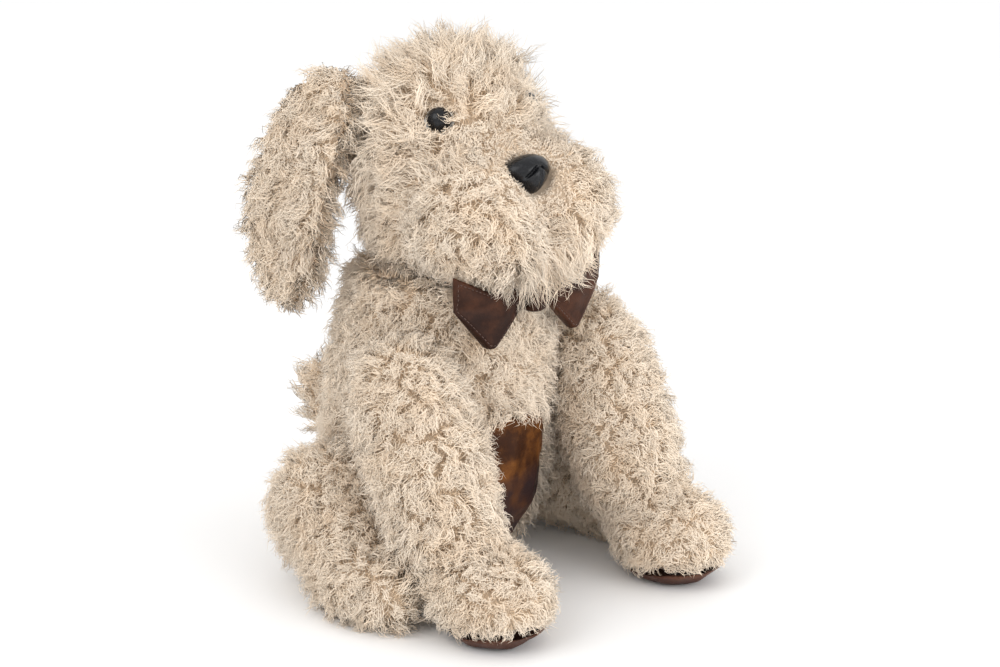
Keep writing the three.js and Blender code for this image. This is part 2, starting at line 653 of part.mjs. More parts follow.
for (const [name, side] of [['left', 1], ['right', -1]]) {
  const place = side > 0 ? (body) => body : mirrored;
  const beside = ([x, y, z]) => [side * x, y, z];
  dog.add(movingGroup(`ear_${name}`, beside(EAR_ROOT), [
    part(`ear_${name}_outer`, place(earLayer(-1)), plush),
    part(`ear_${name}_lining`, place(earLayer(1)), plush),
  ]));
  dog.add(movingGroup(`front_leg_${name}`, beside(SHOULDER), [
    part(`front_leg_${name}_cover`, place(frontLegCover), plush),
    part(`front_leg_${name}_stuffing`, place(frontLegStuffing), stuffing),
    part(`front_leg_${name}_sole`, place(frontLegSole), leather),
  ]));
  dog.add(movingGroup(`hind_leg_${name}`, beside(HIP), [
    part(`hind_leg_${name}_cover`, place(hindLegCover), plush),
    part(`hind_leg_${name}_stuffing`, place(hindLegStuffing), stuffing),
  ]));
}
dog.add(movingGroup('tail', TAIL, [
  part('tail_cover', tailCover, plush),
  part('tail_stuffing', tailStuffing, stuffing),
]));

// The origin lies on the floor, under the middle of the dog.
const extent = new THREE.Box3().setFromObject(dog);
const middle = extent.getCenter(new THREE.Vector3());
dog.position.set(-middle.x, -middle.y, -extent.min.z);

export default dog;
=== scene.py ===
"""A sitting plush dog in long curly cream fur, with leather soles and belly and a leather bow tie.

Every piece is placed from the model's own frame, in metres, with the dog looking along -Y.
"""

import json
import logging
import math
from dataclasses import dataclass, field
from enum import Enum
from typing import Callable, Sequence

import bmesh
import bpy
import numpy as np
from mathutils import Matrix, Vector
from mathutils.bvhtree import BVHTree
from mathutils.kdtree import KDTree


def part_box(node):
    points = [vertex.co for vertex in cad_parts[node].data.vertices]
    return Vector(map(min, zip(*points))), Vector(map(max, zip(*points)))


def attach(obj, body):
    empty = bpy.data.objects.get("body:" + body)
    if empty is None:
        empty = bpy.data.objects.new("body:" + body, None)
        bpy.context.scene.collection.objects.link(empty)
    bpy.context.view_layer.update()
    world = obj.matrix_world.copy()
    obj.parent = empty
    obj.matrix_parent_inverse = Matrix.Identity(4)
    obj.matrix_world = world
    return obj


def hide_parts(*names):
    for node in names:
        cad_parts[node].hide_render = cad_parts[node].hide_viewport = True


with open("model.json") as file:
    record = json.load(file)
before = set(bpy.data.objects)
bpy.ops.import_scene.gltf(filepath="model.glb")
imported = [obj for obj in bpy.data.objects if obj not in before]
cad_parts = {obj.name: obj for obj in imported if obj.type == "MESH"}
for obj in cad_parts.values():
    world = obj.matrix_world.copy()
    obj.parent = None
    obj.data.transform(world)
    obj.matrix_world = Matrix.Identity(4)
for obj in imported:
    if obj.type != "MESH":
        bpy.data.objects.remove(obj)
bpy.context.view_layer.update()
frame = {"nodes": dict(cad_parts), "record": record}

logging.basicConfig(level=logging.INFO, format="%(message)s")
LOG = logging.getLogger("plush_dog")

MM = 0.001
CM2 = 1e-4
Array = np.ndarray
Flow = Callable[[Array, Array], Array]
FLOOR_GAP = 0.2 * MM


class Side(Enum):
    """The dog's two sides, as the sign of X."""

    LEFT = 1
    RIGHT = -1

    @property
    def word(self) -> str:
        """The side's name in node names."""
        return self.name.lower()


# ---------------------------------------------------------------- small helpers


def unit(vectors: Array) -> Array:
    """Vectors scaled to length one, row by row."""
    return vectors / np.maximum(np.linalg.norm(vectors, axis=-1, keepdims=True), 1e-12)


def middle(node: str) -> Array:
    """The centre of a node's box."""
    low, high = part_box(node)
    return (np.array(low) + np.array(high)) / 2


def link(obj: bpy.types.Object) -> bpy.types.Object:
    """Put a new object in the scene."""
    bpy.context.scene.collection.objects.link(obj)
    return obj


def mesh_object(name: str, points: Array, faces: Sequence[Sequence[int]]) -> bpy.types.Object:
    """Make a smooth-shaded mesh object.

    Args:
        name: The piece's name.
        points: The vertices.
        faces: Vertex numbers of each face, counter-clockwise from outside.

    Returns:
        The new object, linked to the scene.
    """
    mesh = bpy.data.meshes.new(name)
    mesh.from_pydata([tuple(p) for p in np.asarray(points, float)], [], [list(f) for f in faces])
    mesh.validate()
    mesh.polygons.foreach_set("use_smooth", np.ones(len(mesh.polygons), bool))
    mesh.update()
    return link(bpy.data.objects.new(name, mesh))


def ring_faces(rows: int, spokes: int, first: int = 0, inward: bool = False) -> list[list[int]]:
    """The faces between neighbouring rings of vertices.

    Args:
        rows: The number of the row past the last ring.
        spokes: How many vertices a ring has.
        first: The number of the first ring.
        inward: Whether the faces turn the other way.

    Returns:
        Vertex numbers of each face.
    """
    faces = []
    for i in range(first, rows - 1):
        for k in range(spokes):
            a, b = i * spokes + k, i * spokes + (k + 1) % spokes
            faces.append([a, a + spokes, b + spokes, b] if inward else [a, b, b + spokes, a + spokes])
    return faces


def applied(obj: bpy.types.Object) -> bpy.types.Object:
    """Make an object's modifiers permanent and remove them.

    Args:
        obj: The object, changed in place.

    Returns:
        The same object.
    """
    view = bpy.context.evaluated_depsgraph_get()
    view.update()
    final = bpy.data.meshes.new_from_object(obj.evaluated_get(view))
    obj.modifiers.clear()
    obj.data = final
    final.name = obj.name
    return obj


def coordinates(mesh: bpy.types.Mesh) -> Array:
    """A mesh's vertex positions."""
    flat = np.empty(len(mesh.vertices) * 3, np.float32)
    mesh.vertices.foreach_get("co", flat)
    return flat.reshape(-1, 3).astype(float)


def move_vertices(mesh: bpy.types.Mesh, points: Array) -> None:
    """Set a mesh's vertex positions."""
    mesh.vertices.foreach_set("co", points.astype(np.float32).ravel())
    mesh.update()


def copied(name: str, nodes: Sequence[str]) -> bpy.types.Object:
    """Copy several nodes into one new object.

    Args:
        name: The new object's name.
        nodes: The nodes to copy.

    Returns:
        The new object.
    """
    gathered = bmesh.new()
    for node in nodes:
        gathered.from_mesh(bpy.data.objects[node].data)
    mesh = bpy.data.meshes.new(name)
    gathered.to_mesh(mesh)
    gathered.free()
    return link(bpy.data.objects.new(name, mesh))


def turned_outward(obj: bpy.types.Object) -> None:
    """Delete vertices that no face uses and turn every face outward.

    Args:
        obj: The object, changed in place.
    """
    work = bmesh.new()
    work.from_mesh(obj.data)
    loose = [v for v in work.verts if not v.link_faces]
    bmesh.ops.delete(work, geom=loose, context="VERTS")
    bmesh.ops.recalc_face_normals(work, faces=work.faces)
    work.to_mesh(obj.data)
    work.free()


def keep_largest(obj: bpy.types.Object) -> None:
    """Delete every loose island of a mesh but the largest.

    Args:
        obj: The object, changed in place.
    """
    work = bmesh.new()
    work.from_mesh(obj.data)
    work.verts.ensure_lookup_table()
    seen = np.zeros(len(work.verts), bool)
    islands = []
    for start in work.verts:
        if seen[start.index]:
            continue
        seen[start.index] = True
        island = [start]
        for vert in island:
            for edge in vert.link_edges:
                other = edge.other_vert(vert)
                if not seen[other.index]:
                    seen[other.index] = True
                    island.append(other)
        islands.append(island)
    islands.sort(key=len)
    for island in islands[:-1]:
        bmesh.ops.delete(work, geom=island, context="VERTS")
    work.to_mesh(obj.data)
    work.free()


def remeshed(obj: bpy.types.Object, voxel: float, smoothing: int, sink: float = 0.0) -> bpy.types.Object:
    """Remesh an object evenly, smooth it and sink its surface.

    Args:
        obj: The object, changed in place.
        voxel: The size of the new faces.
        smoothing: How many rounds of smoothing follow.
        sink: How far the surface moves inward afterwards.

    Returns:
        The same object.
    """
    grid = obj.modifiers.new("grid", "REMESH")
    grid.mode = "VOXEL"
    grid.voxel_size = voxel
    applied(obj)
    keep_largest(obj)
    if smoothing:
        soften = obj.modifiers.new("soften", "SMOOTH")
        soften.iterations = smoothing
        soften.factor = 0.5
    if sink:
        inward = obj.modifiers.new("inward", "DISPLACE")
        inward.strength = -sink
        inward.mid_level = 0.0
    applied(obj)
    obj.data.polygons.foreach_set("use_smooth", np.ones(len(obj.data.polygons), bool))
    obj.data.update()
    return obj


def blocker(nodes: Sequence[str]) -> BVHTree:
    """A ray target made of several nodes.

    Args:
        nodes: The nodes that rays may hit.

    Returns:
        The target.
    """
    points: list[Vector] = []
    faces: list[list[int]] = []
    for node in nodes:
        mesh = bpy.data.objects[node].data
        start = len(points)
        points.extend(v.co.copy() for v in mesh.vertices)
        faces.extend([start + i for i in p.vertices] for p in mesh.polygons)
    return BVHTree.FromPolygons(points, faces)


class Ripple:
    """Smooth wandering values over space, from a few seeded waves."""

    WAVES = 7

    def __init__(self, seed: int, wavelength: float) -> None:
        """Choose the waves.

        Args:
            seed: The number that fixes the waves.
            wavelength: The usual distance between two swells.
        """
        draw = np.random.default_rng(seed)
        directions = unit(draw.normal(size=(self.WAVES, 3)))
        pitch = draw.uniform(0.6, 1.6, size=(self.WAVES, 1))
        self.vectors = directions * pitch * 2 * math.pi / wavelength
        self.phases = draw.uniform(0, 2 * math.pi, self.WAVES)

    def at(self, points: Array) -> Array:
        """The value at each point, mostly between -1 and 1."""
        return np.sin(points @ self.vectors.T + self.phases).sum(axis=1) / math.sqrt(self.WAVES)


# ---------------------------------------------------------------- finishes

Colour = tuple[float, float, float, float]


class NodeTree:
    """Short ways to add and join nodes in a material or group."""

    def __init__(self, tree: bpy.types.NodeTree) -> None:
        """Keep the tree that the nodes go in."""
        self.tree = tree

    def add(self, kind: str, **settings: object) -> bpy.types.Node:
        """Add a node and set its properties and inputs.

        Args:
            kind: The node's type.
            **settings: Properties by name, or inputs by name with spaces as underscores.

        Returns:
            The new node.
        """
        node = self.tree.nodes.new(kind)
        for key, value in settings.items():
            if hasattr(node, key):
                setattr(node, key, value)
            else:
                node.inputs[key.replace("_", " ")].default_value = value
        return node

    def join(self, output: bpy.types.NodeSocket, entry: bpy.types.NodeSocket) -> None:
        """Join an output to an input."""
        self.tree.links.new(output, entry)

    def mix(self, share: object, one: object, two: object, blend: str = "MIX") -> bpy.types.NodeSocket:
        """Mix two colours.

        Args:
            share: A socket or number, 0 for the first colour and 1 for the second.
            one: The first colour, or its socket.
            two: The second colour, or its socket.
            blend: The way of mixing.

        Returns:
            The mixed colour's socket.
        """
        node = self.tree.nodes.new("ShaderNodeMix")
        node.data_type = "RGBA"
        node.blend_type = blend
        for value, entry in ((share, node.inputs[0]), (one, node.inputs[6]), (two, node.inputs[7])):
            if isinstance(value, bpy.types.NodeSocket):
                self.join(value, entry)
            else:
                entry.default_value = value
        return node.outputs[2]

    def maths(self, operation: str, one: object, two: object = 0.0) -> bpy.types.NodeSocket:
        """Combine two numbers.

        Args:
            operation: The sum to do.
            one: The first number, or its socket.
            two: The second number, or its socket.

        Returns:
            The result's socket.
        """
        node = self.tree.nodes.new("ShaderNodeMath")
        node.operation = operation
        for value, entry in zip((one, two), node.inputs):
            if isinstance(value, bpy.types.NodeSocket):
                self.join(value, entry)
            else:
                entry.default_value = value
        return node.outputs[0]

    def spread(self, value: bpy.types.NodeSocket, low: float, high: float) -> bpy.types.NodeSocket:
        """Stretch a value's range to 0 to 1, with soft ends.

        Args:
            value: The value's socket.
            low: What becomes 0.
            high: What becomes 1.

        Returns:
            The stretched value's socket.
        """
        node = self.tree.nodes.new("ShaderNodeMapRange")
        node.interpolation_type = "SMOOTHSTEP"
        node.inputs["From Min"].default_value = low
        node.inputs["From Max"].default_value = high
        self.join(value, node.inputs["Value"])
        return node.outputs["Result"]

    def noise(self, scale: float, detail: float = 3.0, roughness: float = 0.55) -> bpy.types.NodeSocket:
        """Noise in the piece's own coordinates.

        Args:
            scale: How many cells fit in a metre.
            detail: How many finer layers it has.
            roughness: How strong the finer layers are.

        Returns:
            The noise value's socket.
        """
        place = self.add("ShaderNodeTexCoord")
        node = self.add("ShaderNodeTexNoise", Scale=scale, Detail=detail, Roughness=roughness)
        self.join(place.outputs["Object"], node.inputs["Vector"])
        return node.outputs["Fac"]


def new_group(
    name: str, inputs: dict[str, object], outputs: dict[str, str]
) -> tuple[NodeTree, bpy.types.Node, bpy.types.Node]:
    """Start a shader node group.

    Args:
        name: The group's name.
        inputs: Input names and their default values; a tuple is a colour.
        outputs: Output names and their socket types.

    Returns:
        The group's tree, its input node and its output node.
    """
    tree = bpy.data.node_groups.new(name, "ShaderNodeTree")
    for label, value in inputs.items():
        kind = "NodeSocketColor" if isinstance(value, tuple) else "NodeSocketFloat"
        tree.interface.new_socket(label, in_out="INPUT", socket_type=kind).default_value = value
    for label, kind in outputs.items():
        tree.interface.new_socket(label, in_out="OUTPUT", socket_type=kind)
    return NodeTree(tree), tree.nodes.new("NodeGroupInput"), tree.nodes.new("NodeGroupOutput")


def pile_tint_group() -> bpy.types.NodeTree:
    """Colour along a strand: tan at the backing, partly the fur's own tone and partly painted shade deep in
    the pile, cream at the tip, in patches and by lock.
    """
    tree, given, result = new_group(
        "pile_tint",
        {
            "Root": (0.5, 0.35, 0.22, 1.0),
            "Tip": (0.9, 0.8, 0.7, 1.0),
            "Warm": (0.7, 0.5, 0.35, 1.0),
            "Along": 0.5,
            "Lock": 0.5,
            "Patches": 0.5,
        },
        {"Color": "NodeSocketColor"},
    )
    inputs = given.outputs
    patch = tree.spread(tree.noise(55.0, 3.0), 0.42, 0.66)
    warmth = tree.maths("MULTIPLY", patch, inputs["Patches"])
    upper = tree.mix(warmth, inputs["Tip"], inputs["Warm"])
    lighter = tree.mix(tree.maths("MULTIPLY", inputs["Lock"], 0.30), upper, (0.975, 0.87, 0.74, 1.0))
    # Towards the backing the colour runs to Root: the fur's own tan, darkened as painted shade deep in the
    # pile between the locks.
    along = tree.spread(inputs["Along"], 0.0, 0.5)
    tree.join(tree.mix(along, inputs["Root"], lighter), result.inputs["Color"])
    return tree.tree


def leather_wear_group() -> bpy.types.NodeTree:
    """Leather's colour and height: blotches, fine grain and soft creases."""
    tree, given, result = new_group(
        "leather_wear",
        {
            "Dark": (0.05, 0.02, 0.015, 1.0),
            "Worn": (0.20, 0.08, 0.04, 1.0),
            "Amount": 0.5,
            "Blotch": 45.0,
            "Grain": 900.0,
        },
        {"Color": "NodeSocketColor", "Height": "NodeSocketFloat", "Roughness": "NodeSocketFloat"},
    )
    place = tree.add("ShaderNodeTexCoord").outputs["Object"]
    blotch = tree.add("ShaderNodeTexNoise", Detail=5.0, Roughness=0.6)
    tree.join(place, blotch.inputs["Vector"])
    tree.join(given.outputs["Blotch"], blotch.inputs["Scale"])
    grain = tree.add("ShaderNodeTexVoronoi")
    tree.join(place, grain.inputs["Vector"])
    tree.join(given.outputs["Grain"], grain.inputs["Scale"])
    crease = tree.noise(160.0, 4.0, 0.65)
    worn = tree.spread(blotch.outputs["Fac"], 0.40, 0.68)
    amount = tree.maths("MULTIPLY", worn, given.outputs["Amount"])
    base = tree.mix(amount, given.outputs["Dark"], given.outputs["Worn"])
    pores = tree.spread(grain.outputs["Distance"], 0.0, 0.35)
    speckle = tree.mix(0.35, base, tree.mix(pores, (0.35, 0.3, 0.3, 1.0), (1.0, 1.0, 1.0, 1.0)), "MULTIPLY")
    tree.join(speckle, result.inputs["Color"])
    height = tree.maths("ADD", tree.maths("MULTIPLY", grain.outputs["Distance"], 0.5), crease)
    tree.join(height, result.inputs["Height"])
    rough = tree.maths("ADD", tree.maths("MULTIPLY", crease, 0.25), 0.36)
    tree.join(rough, result.inputs["Roughness"])
    return tree.tree


def cloth_weave_group() -> bpy.types.NodeTree:
    """A fine woven or felted cloth: its height and its light and dark threads."""
    tree, given, result = new_group(
        "cloth_weave",
        {"Light": (0.9, 0.9, 0.9, 1.0), "Shade": (0.7, 0.7, 0.7, 1.0), "Threads": 900.0},
        {"Color": "NodeSocketColor", "Height": "NodeSocketFloat"},
    )
    place = tree.add("ShaderNodeTexCoord").outputs["Object"]
    heights = []
    for axis in ("X", "Y", "Z"):
        wave = tree.add("ShaderNodeTexWave", bands_direction=axis, Distortion=1.5, Detail=1.0)
        tree.join(place, wave.inputs["Vector"])
        tree.join(given.outputs["Threads"], wave.inputs["Scale"])
        heights.append(wave.outputs["Fac"])
    height = tree.maths("ADD", tree.maths("ADD", heights[0], heights[1]), heights[2])
    shade = tree.maths("MULTIPLY", height, 0.33)
    tree.join(tree.mix(shade, given.outputs["Shade"], given.outputs["Light"]), result.inputs["Color"])
    tree.join(height, result.inputs["Height"])
    return tree.tree


class Groups:
    """The shared node groups, made once."""

    pile_tint: bpy.types.NodeTree
    leather_wear: bpy.types.NodeTree
    cloth_weave: bpy.types.NodeTree

    @classmethod
    def make(cls) -> None:
        """Make every group."""
        cls.pile_tint = pile_tint_group()
        cls.leather_wear = leather_wear_group()
        cls.cloth_weave = cloth_weave_group()


def start_material(name: str) -> tuple[bpy.types.Material, NodeTree, bpy.types.Node]:
    """Start a material.

    Args:
        name: The material's name.

    Returns:
        The material, its tree and its Principled shader.
    """
    material = bpy.data.materials.new(name)
    material.use_nodes = True
    return material, NodeTree(material.node_tree), material.node_tree.nodes["Principled BSDF"]


def place_group(tree: NodeTree, group: bpy.types.NodeTree, values: dict[str, object]) -> bpy.types.Node:
    """Place a shared group in a material with its own values."""
    node = tree.add("ShaderNodeGroup", node_tree=group)
    for label, value in values.items():
        node.inputs[label].default_value = value
    return node


@dataclass(frozen=True)
class FurFinish:
    """Long curly pile."""

    name: str = "plush_fur"
    # root is the colour near the backing: partly the fur's own tan, partly painted shade deep in the pile
    # between the locks.
    root: Colour = (0.94, 0.72, 0.50, 1.0)
    tip: Colour = (0.965, 0.815, 0.65, 1.0)
    warm: Colour = (0.93, 0.73, 0.53, 1.0)
    patches: float = 0.6

    def make(self) -> bpy.types.Material:
        """Build the material."""
        material, tree, shader = start_material(self.name)
        tint = place_group(
            tree,
            Groups.pile_tint,
            {"Root": self.root, "Tip": self.tip, "Warm": self.warm, "Patches": self.patches},
        )
        for label, attribute in (("Along", "along"), ("Lock", "lock_tint")):
            source = tree.add("ShaderNodeAttribute", attribute_name=attribute)
            tree.join(source.outputs["Fac"], tint.inputs[label])
        tree.join(tint.outputs["Color"], shader.inputs["Base Color"])
        shader.inputs["Roughness"].default_value = 0.85
        shader.inputs["Specular IOR Level"].default_value = 0.25
        shader.inputs["Sheen Weight"].default_value = 0.35
        shader.inputs["Sheen Roughness"].default_value = 0.6
        shader.inputs["Sheen Tint"].default_value = (1.0, 0.95, 0.88, 1.0)
        return material


@dataclass(frozen=True)
class ClothFinish:
    """Woven, knitted or felted cloth."""

    name: str
    light: Colour
    shade: Colour
    threads: float = 900.0
    bump: float = 0.0002

    def make(self) -> bpy.types.Material:
        """Build the material."""
        material, tree, shader = start_material(self.name)
        weave = place_group(
            tree,
            Groups.cloth_weave,
            {"Light": self.light, "Shade": self.shade, "Threads": self.threads},
        )
        tree.join(weave.outputs["Color"], shader.inputs["Base Color"])
        bump = tree.add("ShaderNodeBump", Distance=self.bump, Strength=0.6)
        tree.join(weave.outputs["Height"], bump.inputs["Height"])
        tree.join(bump.outputs["Normal"], shader.inputs["Normal"])
        shader.inputs["Roughness"].default_value = 0.9
        shader.inputs["Sheen Weight"].default_value = 0.2
        return material


@dataclass(frozen=True)
class LeatherFinish:
    """Waxed leather with a fine grain, worn lighter in blotches."""

    name: str
    dark: Colour
    worn: Colour
    amount: float = 0.8
    blotch: float = 45.0
    band_height: float | None = None
    band_dark: Colour = (0.034, 0.019, 0.020, 1.0)

    def make(self) -> bpy.types.Material:
        """Build the material."""
        material, tree, shader = start_material(self.name)
        wear = place_group(
            tree,
            Groups.leather_wear,
            {"Dark": self.dark, "Worn": self.worn, "Amount": self.amount, "Blotch": self.blotch},
        )
        colour = wear.outputs["Color"]
        if self.band_height is not None:
            colour = self.darker_below(tree, colour)
        tree.join(colour, shader.inputs["Base Color"])
        tree.join(wear.outputs["Roughness"], shader.inputs["Roughness"])
        bump = tree.add("ShaderNodeBump", Distance=0.0003, Strength=0.5)
        tree.join(wear.outputs["Height"], bump.inputs["Height"])
        tree.join(bump.outputs["Normal"], shader.inputs["Normal"])
        shader.inputs["Specular IOR Level"].default_value = 0.12
        return material

    def darker_below(self, tree: NodeTree, colour: bpy.types.NodeSocket) -> bpy.types.NodeSocket:
        """Make the colour darker below a height, with an uneven edge.

        Args:
            tree: The material's tree.
            colour: The colour above.

        Returns:
            The new colour's socket.
        """
        place = tree.add("ShaderNodeTexCoord").outputs["Object"]
        parts = tree.add("ShaderNodeSeparateXYZ")
        tree.join(place, parts.inputs["Vector"])
        wander = tree.maths("MULTIPLY", tree.noise(60.0, 4.0), 12 * MM)
        height = tree.maths("ADD", parts.outputs["Z"], wander)
        edge = self.band_height + 6 * MM
        above = tree.spread(height, edge - 3.5 * MM, edge + 3.5 * MM)
        dark = tree.mix(0.5, colour, self.band_dark)
        lower = tree.mix(tree.spread(tree.noise(70.0, 5.0), 0.35, 0.75), self.band_dark, dark)
        return tree.mix(above, lower, colour)


@dataclass(frozen=True)
class GlossFinish:
    """Moulded black plastic."""

    name: str
    colour: Colour = (0.006, 0.006, 0.007, 1.0)
    roughness: float = 0.14
    coat: float = 0.0
    shine: float = 0.3

    def make(self) -> bpy.types.Material:
        """Build the material."""
        material, tree, shader = start_material(self.name)
        dust = tree.spread(tree.noise(700.0, 4.0), 0.45, 0.8)
        light = tuple(min(1.0, c * 2.2 + 0.004) for c in self.colour[:3]) + (1.0,)
        tree.join(tree.mix(dust, self.colour, light), shader.inputs["Base Color"])
        bump = tree.add("ShaderNodeBump", Distance=0.00008, Strength=0.35)
        tree.join(tree.noise(500.0, 3.0), bump.inputs["Height"])
        tree.join(bump.outputs["Normal"], shader.inputs["Normal"])
        shader.inputs["Roughness"].default_value = self.roughness
        shader.inputs["Coat Weight"].default_value = self.coat
        shader.inputs["Coat Roughness"].default_value = 0.06
        shader.inputs["Specular IOR Level"].default_value = self.shine
        return material


class Finishes:
    """Every material of the dog, made once."""

    def __init__(self) -> None:
        """Make the materials."""
        Groups.make()
        self.fur = FurFinish().make()
        self.backing = ClothFinish("plush_backing", (0.78, 0.62, 0.46, 1), (0.55, 0.40, 0.27, 1), 700).make()
        self.filling = ClothFinish("fibre_filling", (0.93, 0.93, 0.91, 1), (0.80, 0.80, 0.78, 1), 260).make()
        self.cotton = ClothFinish("bag_cotton", (0.80, 0.76, 0.66, 1), (0.62, 0.58, 0.49, 1), 1100).make()
        self.pellets = GlossFinish("pellets", (0.78, 0.78, 0.76, 1.0), 0.4, 0.0).make()
        self.washer = GlossFinish("washer_plastic", (0.72, 0.72, 0.70, 1.0), 0.4, 0.0).make()
        self.gloss = GlossFinish("gloss_black").make()
        self.nose = GlossFinish("nose_black", (0.007, 0.0075, 0.009, 1.0), 0.24, 0.0, 0.3).make()
        self.thread = ClothFinish("waxed_thread", (0.13, 0.055, 0.03, 1), (0.05, 0.02, 0.012, 1), 2500).make()
        bow_dark, bow_worn = (0.021, 0.008, 0.005, 1), (0.085, 0.032, 0.016, 1)
        self.bow = LeatherFinish("bow_leather", bow_dark, bow_worn, 0.85).make()
        sole_dark, sole_worn = (0.06, 0.025, 0.017, 1), (0.17, 0.080, 0.052, 1)
        self.sole = LeatherFinish("sole_leather", sole_dark, sole_worn, 0.8).make()
        panel_low, panel_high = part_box("belly_panel")
        self.belly = LeatherFinish(
            "belly_leather",
            (0.045, 0.016, 0.007, 1),
            (0.26, 0.095, 0.022, 1),
            0.95,
            38.0,
            band_height=panel_low[2] + 0.56 * (panel_high[2] - panel_low[2]),
        ).make()


def dress(obj: bpy.types.Object, material: bpy.types.Material, body: str) -> bpy.types.Object:
    """Give a piece its material and body.

    Args:
        obj: The piece.
        material: Its material.
        body: The body it rides on.

    Returns:
        The piece.
    """
    obj.data.materials.clear()
    obj.data.materials.append(material)
    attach(obj, body)
    return obj


# ---------------------------------------------------------------- fur


@dataclass(frozen=True)
class Coat:
    """How one stretch of fur is cut and combed."""

    length: float = 12.5 * MM
    density: float = 88 / CM2
    lock: float = 4.4 * MM
    rise: float = 0.05
    lay: float = 1.05
    wave: float = 1.5 * MM
    turns: float = 1.2
    curl: float = 1.35 * MM
    curl_turns: float = 1.9
    gather: float = 0.22
    frizz: float = 0.9 * MM
    width: float = 0.42 * MM
    wander: float = 1.3
    wander_size: float = 22 * MM


@dataclass(frozen=True)
class Trim:
    """A round place where the fur is cut shorter, or left longer where it keeps more than 1."""

    centre: tuple[float, float, float]
    inner: float
    outer: float
    keep: float

    def share(self, points: Array) -> Array:
        """How much of its length each strand keeps."""
        away = np.linalg.norm(points - np.array(self.centre), axis=1)
        step = np.clip((away - self.inner) / (self.outer - self.inner), 0, 1)
        return self.keep + (1 - self.keep) * step


@dataclass
class Roots:
    """Where strands leave the cloth."""

    points: Array
    normals: Array
    share: Array

    def kept(self, mask: Array) -> "Roots":
        """The roots that a mask keeps."""
        return Roots(self.points[mask], self.normals[mask], self.share[mask])


